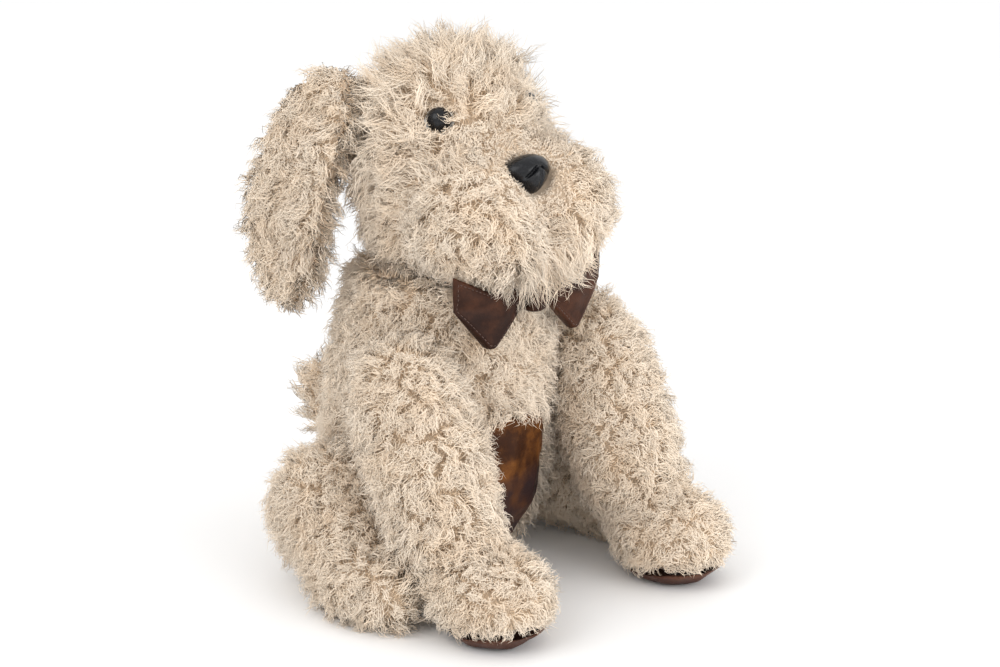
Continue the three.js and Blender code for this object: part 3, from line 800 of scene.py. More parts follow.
class Fur:
    """Locks of strands grown on one skin.

    Each spread is how far a random draw strays: a range of shares, or a deviation in radians.
    """

    STATIONS = 6
    FINE = 20
    STRANDS_PER_PIECE = 7000
    SIDES = 3
    PILE_SHADING = 0.5
    CLEAR = 3.5 * MM
    CROWDED = 9 * MM
    BACK = 3 * MM
    CROWDED_KEEP = 0.65
    SHORTEST = 0.02
    FINE_WANDER = 0.45
    COMB_SPREAD = 0.25
    RISE_SPREAD = 0.16
    LAY_SPREAD = 0.22
    LENGTH_SPREAD = (0.78, 1.18)
    TURN_SPREAD = (0.6, 1.4)
    SWING_SPREAD = (0.5, 1.4)
    STRETCH_SPREAD = (0.62, 1.12)
    GATHER_SPREAD = (0.6, 1.15)
    CURL_SPREAD = (0.7, 1.3)
    WIDTH_SPREAD = (0.75, 1.2)
    ROOT_BLUR = 0.16
    LOOSE_SHARE = 0.12
    LOOSE_FRIZZ = 1.6
    CALM_FRIZZ = 0.55
    TAPER = (1.0, 1.05, 1.02, 0.92, 0.7)

    def __init__(self, skin: bpy.types.Object, coat: Coat, flow: Flow, seed: int) -> None:
        """Keep what the fur needs.

        Args:
            skin: The cloth surface.
            coat: How the fur is cut.
            flow: The way the fur is combed at points with normals.
            seed: The number that fixes every random draw.
        """
        self.skin = skin
        self.coat = coat
        self.flow = flow
        self.draw = np.random.default_rng(seed)
        self.twist = Ripple(seed + 1, coat.wander_size)
        self.fine_twist = Ripple(seed + 2, coat.wander_size * 0.3)

    def scatter(self, count_per_area: float) -> Roots:
        """Scatter roots evenly over the skin.

        Args:
            count_per_area: How many roots a square metre gets.

        Returns:
            The roots.
        """
        mesh = self.skin.data
        mesh.calc_loop_triangles()
        triangles = np.empty(len(mesh.loop_triangles) * 3, np.int32)
        mesh.loop_triangles.foreach_get("vertices", triangles)
        triangles = triangles.reshape(-1, 3)
        points = coordinates(mesh)
        normals = np.empty(len(mesh.vertices) * 3, np.float32)
        mesh.vertex_normals.foreach_get("vector", normals)
        normals = normals.reshape(-1, 3)
        a, b, c = (points[triangles[:, k]] for k in range(3))
        total = np.cumsum(np.linalg.norm(np.cross(b - a, c - a), axis=1) / 2)
        count = int(total[-1] * count_per_area)
        level = (np.arange(count) + self.draw.random(count)) / count * total[-1]
        chosen = np.minimum(np.searchsorted(total, level), len(triangles) - 1)
        u, v = np.sqrt(self.draw.random(count)), self.draw.random(count)
        weights = np.stack([1 - u, u * (1 - v), u * v], axis=1)
        corner = triangles[chosen]
        spot = (points[corner] * weights[:, :, None]).sum(axis=1)
        direction = unit((normals[corner] * weights[:, :, None]).sum(axis=1))
        return Roots(spot, direction, np.ones(count))

    def clear_of(self, roots: Roots, target: BVHTree, trims: Sequence[Trim]) -> Roots:
        """Drop roots under another piece and shorten those close to one.

        Args:
            roots: All the roots.
            target: The neighbouring pieces.
            trims: Places where the fur is cut short.

        Returns:
            The roots that stay, with their share of the length.
        """
        share = np.ones(len(roots.points))
        for i, (spot, normal) in enumerate(zip(roots.points, roots.normals)):
            hit = target.ray_cast(Vector(spot - normal * self.BACK), Vector(normal), self.CROWDED + self.BACK)
            if hit[0] is not None:
                away = hit[3] - self.BACK
                room = (away - self.CLEAR) / (self.CROWDED - self.CLEAR)
                share[i] = self.CROWDED_KEEP + (1 - self.CROWDED_KEEP) * room if away > self.CLEAR else 0.0
        for trim in trims:
            share *= trim.share(roots.points)
        roots.share = share
        return roots.kept(share > self.SHORTEST)

    def uncovered(self, roots: Roots, cover: BVHTree) -> Roots:
        """Drop every root that lies under a panel or button."""
        reach = self.CROWDED + self.BACK
        starts = roots.points - roots.normals * self.BACK
        hits = (cover.ray_cast(Vector(a), Vector(b), reach)[0] for a, b in zip(starts, roots.normals))
        return roots.kept(np.array([hit is None for hit in hits]))

    def combed(self, roots: Roots) -> Array:
        """Comb every lock along the skin.

        Args:
            roots: The locks' roots.

        Returns:
            The direction of each lock, in the surface.
        """
        wish = self.flow(roots.points, roots.normals)
        level = unit(wish - (wish * roots.normals).sum(axis=1, keepdims=True) * roots.normals)
        sideways = np.cross(roots.normals, level)
        angle = self.coat.wander * self.twist.at(roots.points)
        angle += self.FINE_WANDER * self.coat.wander * self.fine_twist.at(roots.points)
        angle += self.draw.normal(0, self.COMB_SPREAD, len(angle))
        return level * np.cos(angle)[:, None] + sideways * np.sin(angle)[:, None]

    def guides(self, locks: Roots) -> Array:
        """The middle line of every lock.

        Args:
            locks: The locks' roots.

        Returns:
            Points by lock and station.
        """
        coat, count = self.coat, len(locks.points)
        comb = self.combed(locks)
        side = np.cross(locks.normals, comb)
        length = coat.length * locks.share * self.draw.uniform(*self.LENGTH_SPREAD, count)
        rise = coat.rise + self.draw.normal(0, self.RISE_SPREAD, count)
        lay = coat.lay + self.draw.normal(0, self.LAY_SPREAD, count)
        turns = coat.turns * self.draw.uniform(*self.TURN_SPREAD, count)
        phase = self.draw.uniform(0, 2 * math.pi, count)
        swing = coat.wave * locks.share * self.draw.uniform(*self.SWING_SPREAD, count)
        t = (np.arange(self.FINE) + 0.5) / self.FINE
        angle = rise[:, None] + (lay - rise)[:, None] * t[None, :] ** 0.75
        steps = (
            np.cos(angle)[:, :, None] * locks.normals[:, None, :]
            + np.sin(angle)[:, :, None] * comb[:, None, :]
        ) * (length / self.FINE)[:, None, None]
        path = np.concatenate([np.zeros((count, 1, 3)), np.cumsum(steps, axis=1)], axis=1)
        pick = np.round(np.linspace(0, self.FINE, self.STATIONS)).astype(int)
        t = pick / self.FINE
        turn = 2 * math.pi * turns[:, None] * t[None, :] + phase[:, None]
        fade = t[None, :] ** 0.6
        across = (np.sin(turn) - np.sin(phase)[:, None] * (1 - t)) * fade * swing[:, None]
        upward = 0.6 * (np.cos(turn) - np.cos(phase)[:, None] * (1 - t)) * fade * swing[:, None]
        path = path[:, pick] + across[:, :, None] * side[:, None, :]
        path += upward[:, :, None] * locks.normals[:, None, :]
        return path + locks.points[:, None, :]

    def strands(self, roots: Roots, locks: Roots, guides: Array) -> tuple[Array, Array]:
        """Gather the strands around their locks' middle lines.

        Args:
            roots: The strands' roots.
            locks: The locks' roots.
            guides: The locks' middle lines.

        Returns:
            Points by strand and station, and each strand's lock.
        """
        tree = KDTree(len(locks.points))
        for i, spot in enumerate(locks.points):
            tree.insert(Vector(spot), i)
        tree.balance()
        blur = self.draw.normal(0, self.ROOT_BLUR * self.coat.lock, roots.points.shape)
        own = np.array([tree.find(Vector(p))[1] for p in roots.points + blur])
        count = len(roots.points)
        t = np.linspace(0, 1, self.STATIONS)
        room = (roots.share / locks.share[own]).clip(0.3, 1.3)
        stretch = self.draw.uniform(*self.STRETCH_SPREAD, count) * room
        offset = roots.points - locks.points[own]
        pull = self.coat.gather * self.draw.uniform(*self.GATHER_SPREAD, count)
        gather = 1 - pull[:, None] * t[None, :] ** 0.9
        bend = guides[own] - locks.points[own][:, None, :]
        path = locks.points[own][:, None, :] + bend * stretch[:, None, None]
        path += offset[:, None, :] * gather[:, :, None]
        path += self.own_curl(roots, bend, t)
        stray = np.cumsum(self.draw.normal(0, 1, (count, self.STATIONS, 3)), axis=1)
        loose = self.draw.random(count) < self.LOOSE_SHARE
        strength = self.coat.frizz * np.where(loose, self.LOOSE_FRIZZ, self.CALM_FRIZZ)
        strength = strength * roots.share.clip(0.3, 1)
        path += (stray - stray[:, :1]) * t[None, :, None] * strength[:, None, None] * 0.6
        path[:, :, 2] = np.maximum(path[:, :, 2], FLOOR_GAP + self.coat.width)
        return path, own

    def own_curl(self, roots: Roots, bend: Array, t: Array) -> Array:
        """The small curl that each strand has of its own.

        Args:
            roots: The strands' roots.
            bend: Each strand's lock line, from its root.
            t: Each station's share of the length.

        Returns:
            How far each station moves.
        """
        count = len(roots.points)
        along = unit(bend[:, -1] + roots.normals * MM)
        side = unit(np.cross(along, roots.normals))
        over = np.cross(side, along)
        phase = self.draw.uniform(0, 2 * math.pi, count)[:, None]
        turns = self.coat.curl_turns * self.draw.uniform(*self.CURL_SPREAD, count)
        turn = 2 * math.pi * turns[:, None] * t + phase
        size = self.coat.curl * roots.share.clip(0.4, 1)[:, None] * t**0.5
        sideways = (np.cos(turn) * size)[:, :, None] * side[:, None]
        return sideways + (np.sin(turn) * size)[:, :, None] * over[:, None]

    def solid(self, name: str, paths: Array, normals: Array, tint: Array) -> bpy.types.Object:
        """Make one mesh of closed, tapering strands.

        Args:
            name: The piece's name.
            paths: Points by strand and station.
            normals: The skin's normal at each strand.
            tint: A number from 0 to 1 for each strand's lock.

        Returns:
            The new object.
        """
        count, stations, sides = len(paths), self.STATIONS, self.SIDES
        along = np.gradient(paths, axis=1)
        u = unit(np.cross(along, normals[:, None, :] + 1e-4))
        v = unit(np.cross(along, u))
        t = np.linspace(0, 1, stations)
        radius = self.coat.width / 2 * np.array(self.TAPER)[None, :, None]
        radius = radius * self.draw.uniform(*self.WIDTH_SPREAD, count)[:, None, None]
        rings, turns = [], []
        for k in range(sides):
            angle = 2 * math.pi * k / sides
            turns.append(math.cos(angle) * u[:, :-1] + math.sin(angle) * v[:, :-1])
            rings.append(paths[:, :-1] + radius * turns[-1])
        body = np.stack(rings, axis=2).reshape(count, -1, 3)
        points = np.concatenate([body, paths[:, -1:]], axis=1)
        points[:, :, 2] = np.maximum(points[:, :, 2], FLOOR_GAP)
        per = points.shape[1]
        quads, triangles = [], [[2, 1, 0]]
        for ring in range(stations - 2):
            for k in range(sides):
                a, b = ring * sides + k, ring * sides + (k + 1) % sides
                quads.append([a, b, b + sides, a + sides])
        last = (stations - 2) * sides
        for k in range(sides):
            triangles.append([last + k, last + (k + 1) % sides, last + sides])
        pattern = np.array([i for face in quads + triangles for i in face])
        sizes = np.array([4] * len(quads) + [3] * len(triangles))
        corners = (pattern[None, :] + per * np.arange(count)[:, None]).ravel()
        totals = np.tile(sizes, count)
        mesh = bpy.data.meshes.new(name)
        mesh.vertices.add(count * per)
        mesh.vertices.foreach_set("co", points.astype(np.float32).ravel())
        mesh.loops.add(len(corners))
        mesh.loops.foreach_set("vertex_index", corners.astype(np.int32))
        mesh.polygons.add(len(totals))
        starts = np.concatenate([[0], np.cumsum(totals)[:-1]])
        mesh.polygons.foreach_set("loop_start", starts.astype(np.int32))
        mesh.polygons.foreach_set("use_smooth", np.ones(len(totals), bool))
        share = np.concatenate([np.repeat(t[:-1], sides), [1.0]])
        self.paint(mesh, "along", np.tile(share, count))
        self.paint(mesh, "lock_tint", np.repeat(tint, per))
        self.unwrap(mesh, count, per, share, corners)
        mesh.update(calc_edges=True)
        self.soften(mesh, np.stack(turns, axis=2).reshape(count, -1, 3), along[:, -1], normals)
        return link(bpy.data.objects.new(name, mesh))

    def soften(self, mesh: bpy.types.Mesh, around: Array, ends: Array, normals: Array) -> None:
        """Turn the shading of each strand part of the way towards the pile's surface.

        Args:
            mesh: The strands.
            around: The outward direction at each ring vertex, by strand.
            ends: The direction of each strand's tip.
            normals: The skin's normal at each strand.
        """
        own = np.concatenate([around, unit(ends)[:, None]], axis=1)
        mixed = unit((1 - self.PILE_SHADING) * own + self.PILE_SHADING * normals[:, None])
        mesh.normals_split_custom_set_from_vertices(mixed.reshape(-1, 3).astype(np.float32))

    @staticmethod
    def paint(mesh: bpy.types.Mesh, name: str, values: Array) -> None:
        """Store one number per vertex."""
        attribute = mesh.attributes.new(name, "FLOAT", "POINT")
        attribute.data.foreach_set("value", values.astype(np.float32))

    @staticmethod
    def unwrap(mesh: bpy.types.Mesh, count: int, per: int, share: Array, corners: Array) -> None:
        """Lay the strands side by side in a grid of small cells.

        Args:
            mesh: The strands.
            count: How many strands there are.
            per: How many vertices each has.
            share: How far along its strand each of those vertices lies.
            corners: The vertex number of every face corner.
        """
        cells = math.ceil(math.sqrt(count))
        number = np.arange(count)
        across = (np.arange(per) % 3) / 3 * 0.6 + 0.2
        u = ((number % cells)[:, None] + across[None, :]) / cells
        v = ((number // cells)[:, None] + 0.12 + 0.76 * share[None, :]) / cells
        flat = np.stack([u.ravel(), v.ravel()], axis=1)[corners]
        layer = mesh.uv_layers.new(name="OFBake")
        layer.data.foreach_set("uv", flat.astype(np.float32).ravel())

    def grow(
        self,
        near: Sequence[str],
        trims: Sequence[Trim],
        material: bpy.types.Material,
        body: str,
        under: Sequence[str] = (),
    ) -> list[bpy.types.Object]:
        """Grow the fur.

        Args:
            near: Nodes that the fur keeps clear of.
            trims: Places where it is cut short.
            material: The fur's material.
            body: The body that it rides on.
            under: Nodes that no fur grows beneath.

        Returns:
            The fur's pieces.
        """
        target = blocker(near)
        locks = self.clear_of(self.scatter(1 / self.coat.lock**2), target, trims)
        roots = self.clear_of(self.scatter(self.coat.density), target, trims)
        if under:
            roots = self.uncovered(roots, blocker(under))
        paths, own = self.strands(roots, locks, self.guides(locks))
        tint = self.draw.random(len(locks.points))[own]
        centre = roots.points.mean(axis=0)
        turn = np.arctan2(roots.points[:, 0] - centre[0], roots.points[:, 1] - centre[1])
        order = np.argsort(turn)
        groups = np.array_split(order, max(1, math.ceil(len(order) / self.STRANDS_PER_PIECE)))
        pieces = []
        for number, group in enumerate(groups, 1):
            name = f"{self.skin.name.replace('_skin', '')}_fur_{number}"
            piece = self.solid(name, paths[group], roots.normals[group], tint[group])
            pieces.append(dress(piece, material, body))
        sizes = (self.skin.name, len(order), len(locks.points), len(pieces))
        LOG.info("%s: %d strands in %d locks, %d pieces", *sizes)
        return pieces


# ---------------------------------------------------------------- skins


@dataclass
class Skin:
    """The sewn cloth of one stuffed limb."""

    name: str
    body: str
    nodes: tuple[str, ...]
    replaced: tuple[str, ...]
    fill: float = 0.8
    voxel: float = 4 * MM
    sink: float = 6.4 * MM
    smoothing: int = 8
    start: Array | None = None

    def build(self, finishes: Finishes) -> bpy.types.Object:
        """Make the cloth from its nodes' outer shape."""
        self.obj = remeshed(copied(f"{self.name}_skin", self.nodes), self.voxel, self.smoothing, self.sink)
        self.obj.data.materials.append(finishes.backing)
        return self.obj

    def finish(self, finishes: Finishes) -> None:
        """Dress the cloth once its shape is final."""
        dress(self.obj, finishes.backing, self.body)
        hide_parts(*self.replaced)
        LOG.info("%s: cloth of %d faces", self.obj.name, len(self.obj.data.polygons))


class Stuffing:
    """Air pressure in every skin at once, so that the cloth fills out as it does when it is stuffed."""

    FRAMES = 14
    LIMIT = 2.2 * MM
    PRESSURE = 4.0

    @classmethod
    def puff(cls, skins: Sequence[Skin]) -> None:
        """Puff the skins out and keep the result.

        Args:
            skins: The skins, already built.
        """
        scene = bpy.context.scene
        for skin in skins:
            skin.start = coordinates(skin.obj.data)
            cloth = skin.obj.modifiers.new("cloth", "CLOTH")
            cloth.settings.use_pressure = True
            cloth.settings.uniform_pressure_force = cls.PRESSURE
            cloth.settings.effector_weights.gravity = 0.0
            cloth.settings.quality = 4
            cloth.collision_settings.use_collision = False
            cloth.point_cache.frame_start = 1
            cloth.point_cache.frame_end = cls.FRAMES
        for step in range(1, cls.FRAMES + 1):
            scene.frame_set(step)
        for skin in skins:
            applied(skin.obj)
            shift = coordinates(skin.obj.data) - skin.start
            size = np.linalg.norm(shift, axis=1, keepdims=True)
            shift *= np.minimum(1.0, cls.LIMIT / np.maximum(size, 1e-9))
            move_vertices(skin.obj.data, skin.start + shift)
        scene.frame_set(1)


# ---------------------------------------------------------------- ways the fur is combed


def down(points: Array, normals: Array) -> Array:
    """Fur that hangs down and slightly outward."""
    wish = np.tile([0.0, -0.12, -1.0], (len(points), 1))
    wish[:, 0] = np.sign(points[:, 0]) * 0.15
    return wish


@dataclass(frozen=True)
class FaceComb:
    """Fur brushed away from the nose, back over the skull and down the jowls."""

    nose: tuple[float, float, float]
    crown: float

    def __call__(self, points: Array, normals: Array) -> Array:
        """The wished direction at each point."""
        away = unit(points - np.array(self.nose))
        high = np.clip((points[:, 2] - self.nose[2]) / (self.crown - self.nose[2]), 0, 1)[:, None]
        back = np.array([0.0, 0.6, 0.5])
        drop = np.array([0.0, 0.1, -1.0])
        return away + back * high + drop * (1 - high) * 0.9


@dataclass(frozen=True)
class LegComb:
    """Fur that hangs down the leg and turns forward over the paw."""

    toe: tuple[float, float, float]
    reach: float

    def __call__(self, points: Array, normals: Array) -> Array:
        """The wished direction at each point."""
        away = np.linalg.norm(points - np.array(self.toe), axis=1, keepdims=True)
        near = np.clip(1 - away / self.reach, 0, 1)
        low = np.clip(1 - points[:, 2:] / (26 * MM), 0, 1)
        wish = np.array([0.0, -0.15, -1.0]) * (1 - near) + np.array([0.0, -0.9, -0.5]) * near
        return wish * (1 - low) + (normals + np.array([0.0, 0.0, 0.3])) * low


@dataclass(frozen=True)
class TailComb:
    """Fur that fans out from the tail's root."""

    root: tuple[float, float, float]

    def __call__(self, points: Array, normals: Array) -> Array:
        """The wished direction at each point."""
        return unit(points - np.array(self.root)) + np.array([0.0, 0.3, 0.0])


# ---------------------------------------------------------------- leather


def capsule_row(name: str, path: Array, ups: Array, pitch: float, size: float) -> bpy.types.Object:
    """Make a row of stitches along a path.

    Args:
        name: The piece's name.
        path: Points along the seam.
        ups: The surface's direction at each point.
        pitch: The distance from stitch to stitch.
        size: The thread's thickness.

    Returns:
        One mesh of closed stitches.
    """
    steps = np.linalg.norm(np.diff(path, axis=0), axis=1)
    walked = np.concatenate([[0], np.cumsum(steps)])
    count = max(2, int(walked[-1] / pitch))
    points, faces = [], []
    around, rings = 6, (0.0, 0.12, 0.5, 0.88, 1.0)
    for i in range(count):
        begin, end = (i + 0.16) * walked[-1] / count, (i + 0.84) * walked[-1] / count
        a, b, up = (
            np.array([np.interp(s, walked, source[:, k]) for k in range(3)])
            for s, source in ((begin, path), (end, path), ((begin + end) / 2, ups))
        )
        forward = unit(b - a)
        up = unit(up - forward * (up @ forward))
        side = np.cross(forward, up)
        base = len(points)
        for r in rings:
            swell = size / 2 * (0.35 + 0.65 * math.sin(math.pi * min(max(r, 0.06), 0.94)) ** 0.5)
            centre = a + (b - a) * r + up * size * 0.35 * math.sin(math.pi * r)
            for k in range(around):
                angle = 2 * math.pi * k / around
                points.append(centre + swell * (math.cos(angle) * side + math.sin(angle) * up))
        for r in range(len(rings) - 1):
            for k in range(around):
                c, d = base + r * around + k, base + r * around + (k + 1) % around
                faces.append([c, d, d + around, c + around])
        faces.append([base + k for k in reversed(range(around))])
        faces.append([base + (len(rings) - 1) * around + k for k in range(around)])
    return mesh_object(name, np.array(points), faces)


@dataclass
class LeatherPanel:
    """A leather panel let into the fur, smoothed from its node."""

    node: str
    body: str
    slot: str
    voxel: float = 0.8 * MM
    smoothing: int = 10

    def build(self, material: bpy.types.Material) -> bpy.types.Object:
        """Make and dress the panel.

        Args:
            material: The panel's leather.

        Returns:
            The panel.
        """
        piece = remeshed(copied(f"{self.node}_leather", [self.node]), self.voxel, self.smoothing)
        points = coordinates(piece.data)
        points[:, 2] = np.maximum(points[:, 2], 0.0)
        ripple = Ripple(11, 16 * MM).at(points) * 0.35 * MM
        normals = np.empty(points.size, np.float32)
        piece.data.vertex_normals.foreach_get("vector", normals)
        lifted = points + normals.reshape(-1, 3) * ripple[:, None]
        lifted[:, 2] = np.where(points[:, 2] < 0.4 * MM, points[:, 2], np.maximum(lifted[:, 2], 0.0))
        move_vertices(piece.data, lifted)
        dress(piece, material, self.body)
        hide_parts(self.node)
        LOG.info("%s: %d faces", piece.name, len(piece.data.polygons))
        return piece


@dataclass
class BowTie:
    """A leather bow tie sewn to the chest: two folded wings and a knot."""

    length: float = 50 * MM
    edge_in: float = 2.6 * MM
    rim_width: float = 3.2 * MM
    hem_depth: float = 0.45 * MM
    hem_width: float = 0.55 * MM
    sheet: float = 0.9 * MM
    bulge: float = 4.2 * MM
    across: int = 40
    around: int = 36
    knot: Array = field(default_factory=lambda: middle("bow_knot"))

    def edge(self, s: Array, upper: bool) -> Array:
        """The wing's upper or lower edge, from the knot at 0 to the outer end at 1.

        Args:
            s: Share of the way out.
            upper: Whether the upper edge is wanted.

        Returns:
            Heights above the knot's middle.
        """
        if upper:
            return np.interp(s, [0, 0.15, 0.50, 1.0], [5.5, 6.0, 7.5, 18.0]) * MM
        return np.interp(s, [0, 0.12, 0.46, 0.53, 1.0], [-5.0, -7.0, -22.0, -22.0, 0.5]) * MM

    def wing_points(self, side: Side, s: Array, w: Array, face: int) -> Array:
        """Points on one face of a wing.

        Args:
            side: Which wing.
            s: Share of the way out.
            w: Share of the way from the lower edge to the upper edge.
            face: 1 for the front, -1 for the back.

        Returns:
            The points.
        """
        low, high = self.edge(s, False), self.edge(s, True)
        up = low + (high - low) * w
        out = 6.8 * MM + (self.length - 6.8 * MM) * s
        fold = np.clip(1 - np.abs((up - (s * 2.0 - 1.0) * MM) / (5 * MM)), 0, 1)
        pleat = np.cos(2 * math.pi * w * 1.5 + 0.6) * 1.0 * MM * (1 - s) ** 1.5
        inward = np.minimum(np.minimum(w, 1 - w) * (high - low), (1 - s) * self.length)
        rim = np.sqrt(1 - (1 - np.clip(inward / self.rim_width, 0, 1)) ** 2)
        hem = self.hem_depth * np.exp(-(((inward - self.edge_in) / self.hem_width) ** 2))
        swell = np.sin(math.pi * np.clip(0.12 + 0.8 * s, 0, 1)) * (0.55 + 0.45 * (1 - s))
        thick = self.sheet + self.bulge * swell
        depth = thick * rim - hem * (rim > 0.5)
        depth = depth - (1.6 * MM * fold * (0.35 + 0.65 * np.minimum(1, s * 1.3)) * rim) + pleat * rim
        bend = 5.5 * MM * s**2
        x = self.knot[0] + side.value * out * np.cos(0.10 * s)
        y = self.knot[1] + 1.5 * MM - face * np.maximum(depth, 0.25 * MM * rim) + bend * 0.55
        return np.stack([x, y, self.knot[2] + up], axis=-1)

    def wing(self, side: Side, material: bpy.types.Material) -> bpy.types.Object:
        """Build one wing as a closed folded loop.

        Args:
            side: Which wing.
            material: Its leather.

        Returns:
            The wing.
        """
        s_line = np.linspace(0, 1, self.across)
        w_line = np.linspace(0, 1, self.around)
        s, w = np.meshgrid(s_line, w_line, indexing="ij")
        front, back = (self.wing_points(side, s, w, face) for face in (1, -1))
        size = self.across * self.around
        points = np.concatenate([front.reshape(-1, 3), back.reshape(-1, 3)])
        faces = []

        def number(i: int, j: int, face: int) -> int:
            """A vertex's number on the front (0) or back (1)."""
            return face * size + i * self.around + j

        flip = side is Side.LEFT
        for i in range(self.across - 1):
            for j in range(self.around - 1):
                ring = [number(i, j, 0), number(i + 1, j, 0), number(i + 1, j + 1, 0), number(i, j + 1, 0)]
                other = [index + size for index in reversed(ring)]
                faces.extend([ring, other] if flip else [ring[::-1], other[::-1]])
        rim = [(i, 0) for i in range(self.across)] + [(self.across - 1, j) for j in range(1, self.around)]
        rim += [(i, self.around - 1) for i in range(self.across - 2, -1, -1)]
        rim += [(0, j) for j in range(self.around - 2, 0, -1)]
        for here, there in zip(rim, rim[1:] + rim[:1]):
            strip = [number(*here, 0), number(*here, 1), number(*there, 1), number(*there, 0)]
            faces.append(strip if flip else strip[::-1])
        node = f"bow_wing_{side.word}"
        piece = mesh_object(f"{node}_leather", points, faces)
        merge = piece.modifiers.new("merge", "WELD")
        merge.merge_threshold = 0.02 * MM
        smooth = piece.modifiers.new("smooth", "SUBSURF")
        smooth.levels = smooth.render_levels = 1
        applied(piece)
        dress(piece, material, "torso")
        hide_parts(node)
        return piece

    def stitches(self, side: Side, material: bpy.types.Material) -> None:
        """Sew the wing's hem, one row inside its edge.

        Args:
            side: Which wing.
            material: The thread.
        """
        steps = np.linspace(0, 1, 60)
        inset = self.edge_in
        low, high = self.edge(steps, False), self.edge(steps, True)
        lower = inset / (high - low)
        outer = 1 - inset / self.length
        route = [(s, lo) for s, lo in zip(steps[4:], lower[4:]) if s < outer]
        route += [(outer, w) for w in np.linspace(lower[-1], 1 - lower[-1], 16)]
        route += [(s, 1 - lo) for s, lo in reversed(list(zip(steps[4:], lower[4:]))) if s < outer]
        share = np.array(route)
        path = self.wing_points(side, share[:, 0], share[:, 1], 1)
        ups = np.tile([0.0, -1.0, 0.0], (len(path), 1))
        row = capsule_row(f"bow_wing_{side.word}_stitches", path, ups, 2.3 * MM, 0.45 * MM)
        dress(row, material, "torso")

    def knot_wrap(self, material: bpy.types.Material) -> bpy.types.Object:
        """Build the knot: a gathered tube of leather round the wings' roots.

        Args:
            material: Its leather.

        Returns:
            The knot.
        """
        low, high = (np.array(c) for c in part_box("bow_knot"))
        half = (high - low) / 2
        rows, spokes = 26, 40
        points = []
        for i in range(rows):
            v = -1 + 2 * i / (rows - 1)
            for k in range(spokes):
                angle = 2 * math.pi * k / spokes
                pull = 1 - 0.14 * (1 - v * v)
                gather = 1 + 0.05 * math.cos(angle * 7 + 1.3 * v)
                lip = 1 - max(0, abs(v) - 0.82) * 1.2
                x = half[0] * pull * lip * gather * np.sign(math.cos(angle)) * abs(math.cos(angle)) ** 0.8
                y = half[1] * lip * gather * np.sign(math.sin(angle)) * abs(math.sin(angle)) ** 0.8
                points.append(self.knot + np.array([x, y, half[2] * v]))
        faces = ring_faces(rows, spokes)
        faces.append([k for k in reversed(range(spokes))])
        faces.append([(rows - 1) * spokes + k for k in range(spokes)])
        piece = mesh_object("bow_knot_leather", np.array(points), faces)
        dress(piece, material, "torso")
        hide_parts("bow_knot")
        return piece

    def build(self, finishes: Finishes) -> None:
        """Build the whole bow tie."""
        for side in Side:
            self.wing(side, finishes.bow)
            self.stitches(side, finishes.thread)
        self.knot_wrap(finishes.bow)
        LOG.info("bow tie: two wings and a knot")


# ---------------------------------------------------------------- eyes and nose


@dataclass
class Nose:
    """The moulded nose: a rounded triangle with two nostril slits and a groove between them."""

    half_width: float = 13 * MM
    half_height: float = 9.7 * MM
    depth: float = 11 * MM
    tilt: float = math.radians(35)
    across: int = 96
    around: int = 120

    def build(self, material: bpy.types.Material) -> bpy.types.Object:
        """Build and dress the nose.

        Args:
            material: Its plastic.

        Returns:
            The nose.
        """
        forward = np.array([0.0, -math.cos(self.tilt), math.sin(self.tilt)])
        top = np.array([0.0, math.sin(self.tilt), math.cos(self.tilt)])
        right = np.array([1.0, 0.0, 0.0])
        box_low, box_high = (np.array(c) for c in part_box("nose"))
        front = np.array([0.0, box_low[1], 0.0])
        seat = np.array([0.0, front[1] + self.depth * math.cos(self.tilt) + 1.6 * MM, 0.0])
        seat[2] = box_high[2] - self.half_height * math.cos(self.tilt) - 2.0 * MM
        rings = np.linspace(0, 1, self.across)
        turns = np.linspace(0, 2 * math.pi, self.around, endpoint=False)
        ring, turn = np.meshgrid(rings, turns, indexing="ij")
        polar = ring * math.pi * 0.62
        out = np.sin(np.minimum(polar, math.pi / 2)) - 0.25 * np.maximum(0, polar - math.pi / 2)
        x = np.cos(turn) * out
        y = np.sin(turn) * out
        z = np.cos(polar) + 0.08 * (1 - np.abs(x)) * (polar < math.pi / 2)
        width = 1 + 0.34 * y - 0.16 * y**2
        x = x * width
        slit = self.slits(x, y)
        z = z - slit * (z > 0)
        points = (
            seat
            + (x * self.half_width)[..., None] * right
            + (y * self.half_height)[..., None] * top
            + (z * self.depth)[..., None] * forward
        )
        count = self.around
        faces = ring_faces(self.across, count, 1, inward=True)
        faces.extend([0, count + k, count + (k + 1) % count] for k in range(count))
        faces.append([(self.across - 1) * count + k for k in reversed(range(count))])
        piece = mesh_object("nose_button", points.reshape(-1, 3), faces)
        turned_outward(piece)
        dress(piece, material, "head")
        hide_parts("nose")
        LOG.info("nose: %d faces", len(piece.data.polygons))
        return piece

    @staticmethod
    def slits(x: Array, y: Array) -> Array:
        """Cut the nostrils and the groove.

        Args:
            x: Places across the nose, from -1 to 1.
            y: Places up the nose, from -1 to 1.

        Returns:
            How deep each place is cut, as a share of the nose's depth.
        """
        cut = np.zeros_like(x)
        for sign in (1, -1):
            px, py = sign * x - 0.30, y + 0.22
            along = px * 0.80 - py * 0.60
            beside = px * 0.60 + py * 0.80
            curl = beside - 0.35 * along**2
            cut += 0.26 * np.exp(-((curl / 0.085) ** 2)) * np.exp(-((along / 0.34) ** 4))
        groove = np.exp(-((x / 0.055) ** 2)) * np.clip((-y - 0.05) / 0.25, 0, 1)
        return cut + 0.11 * groove


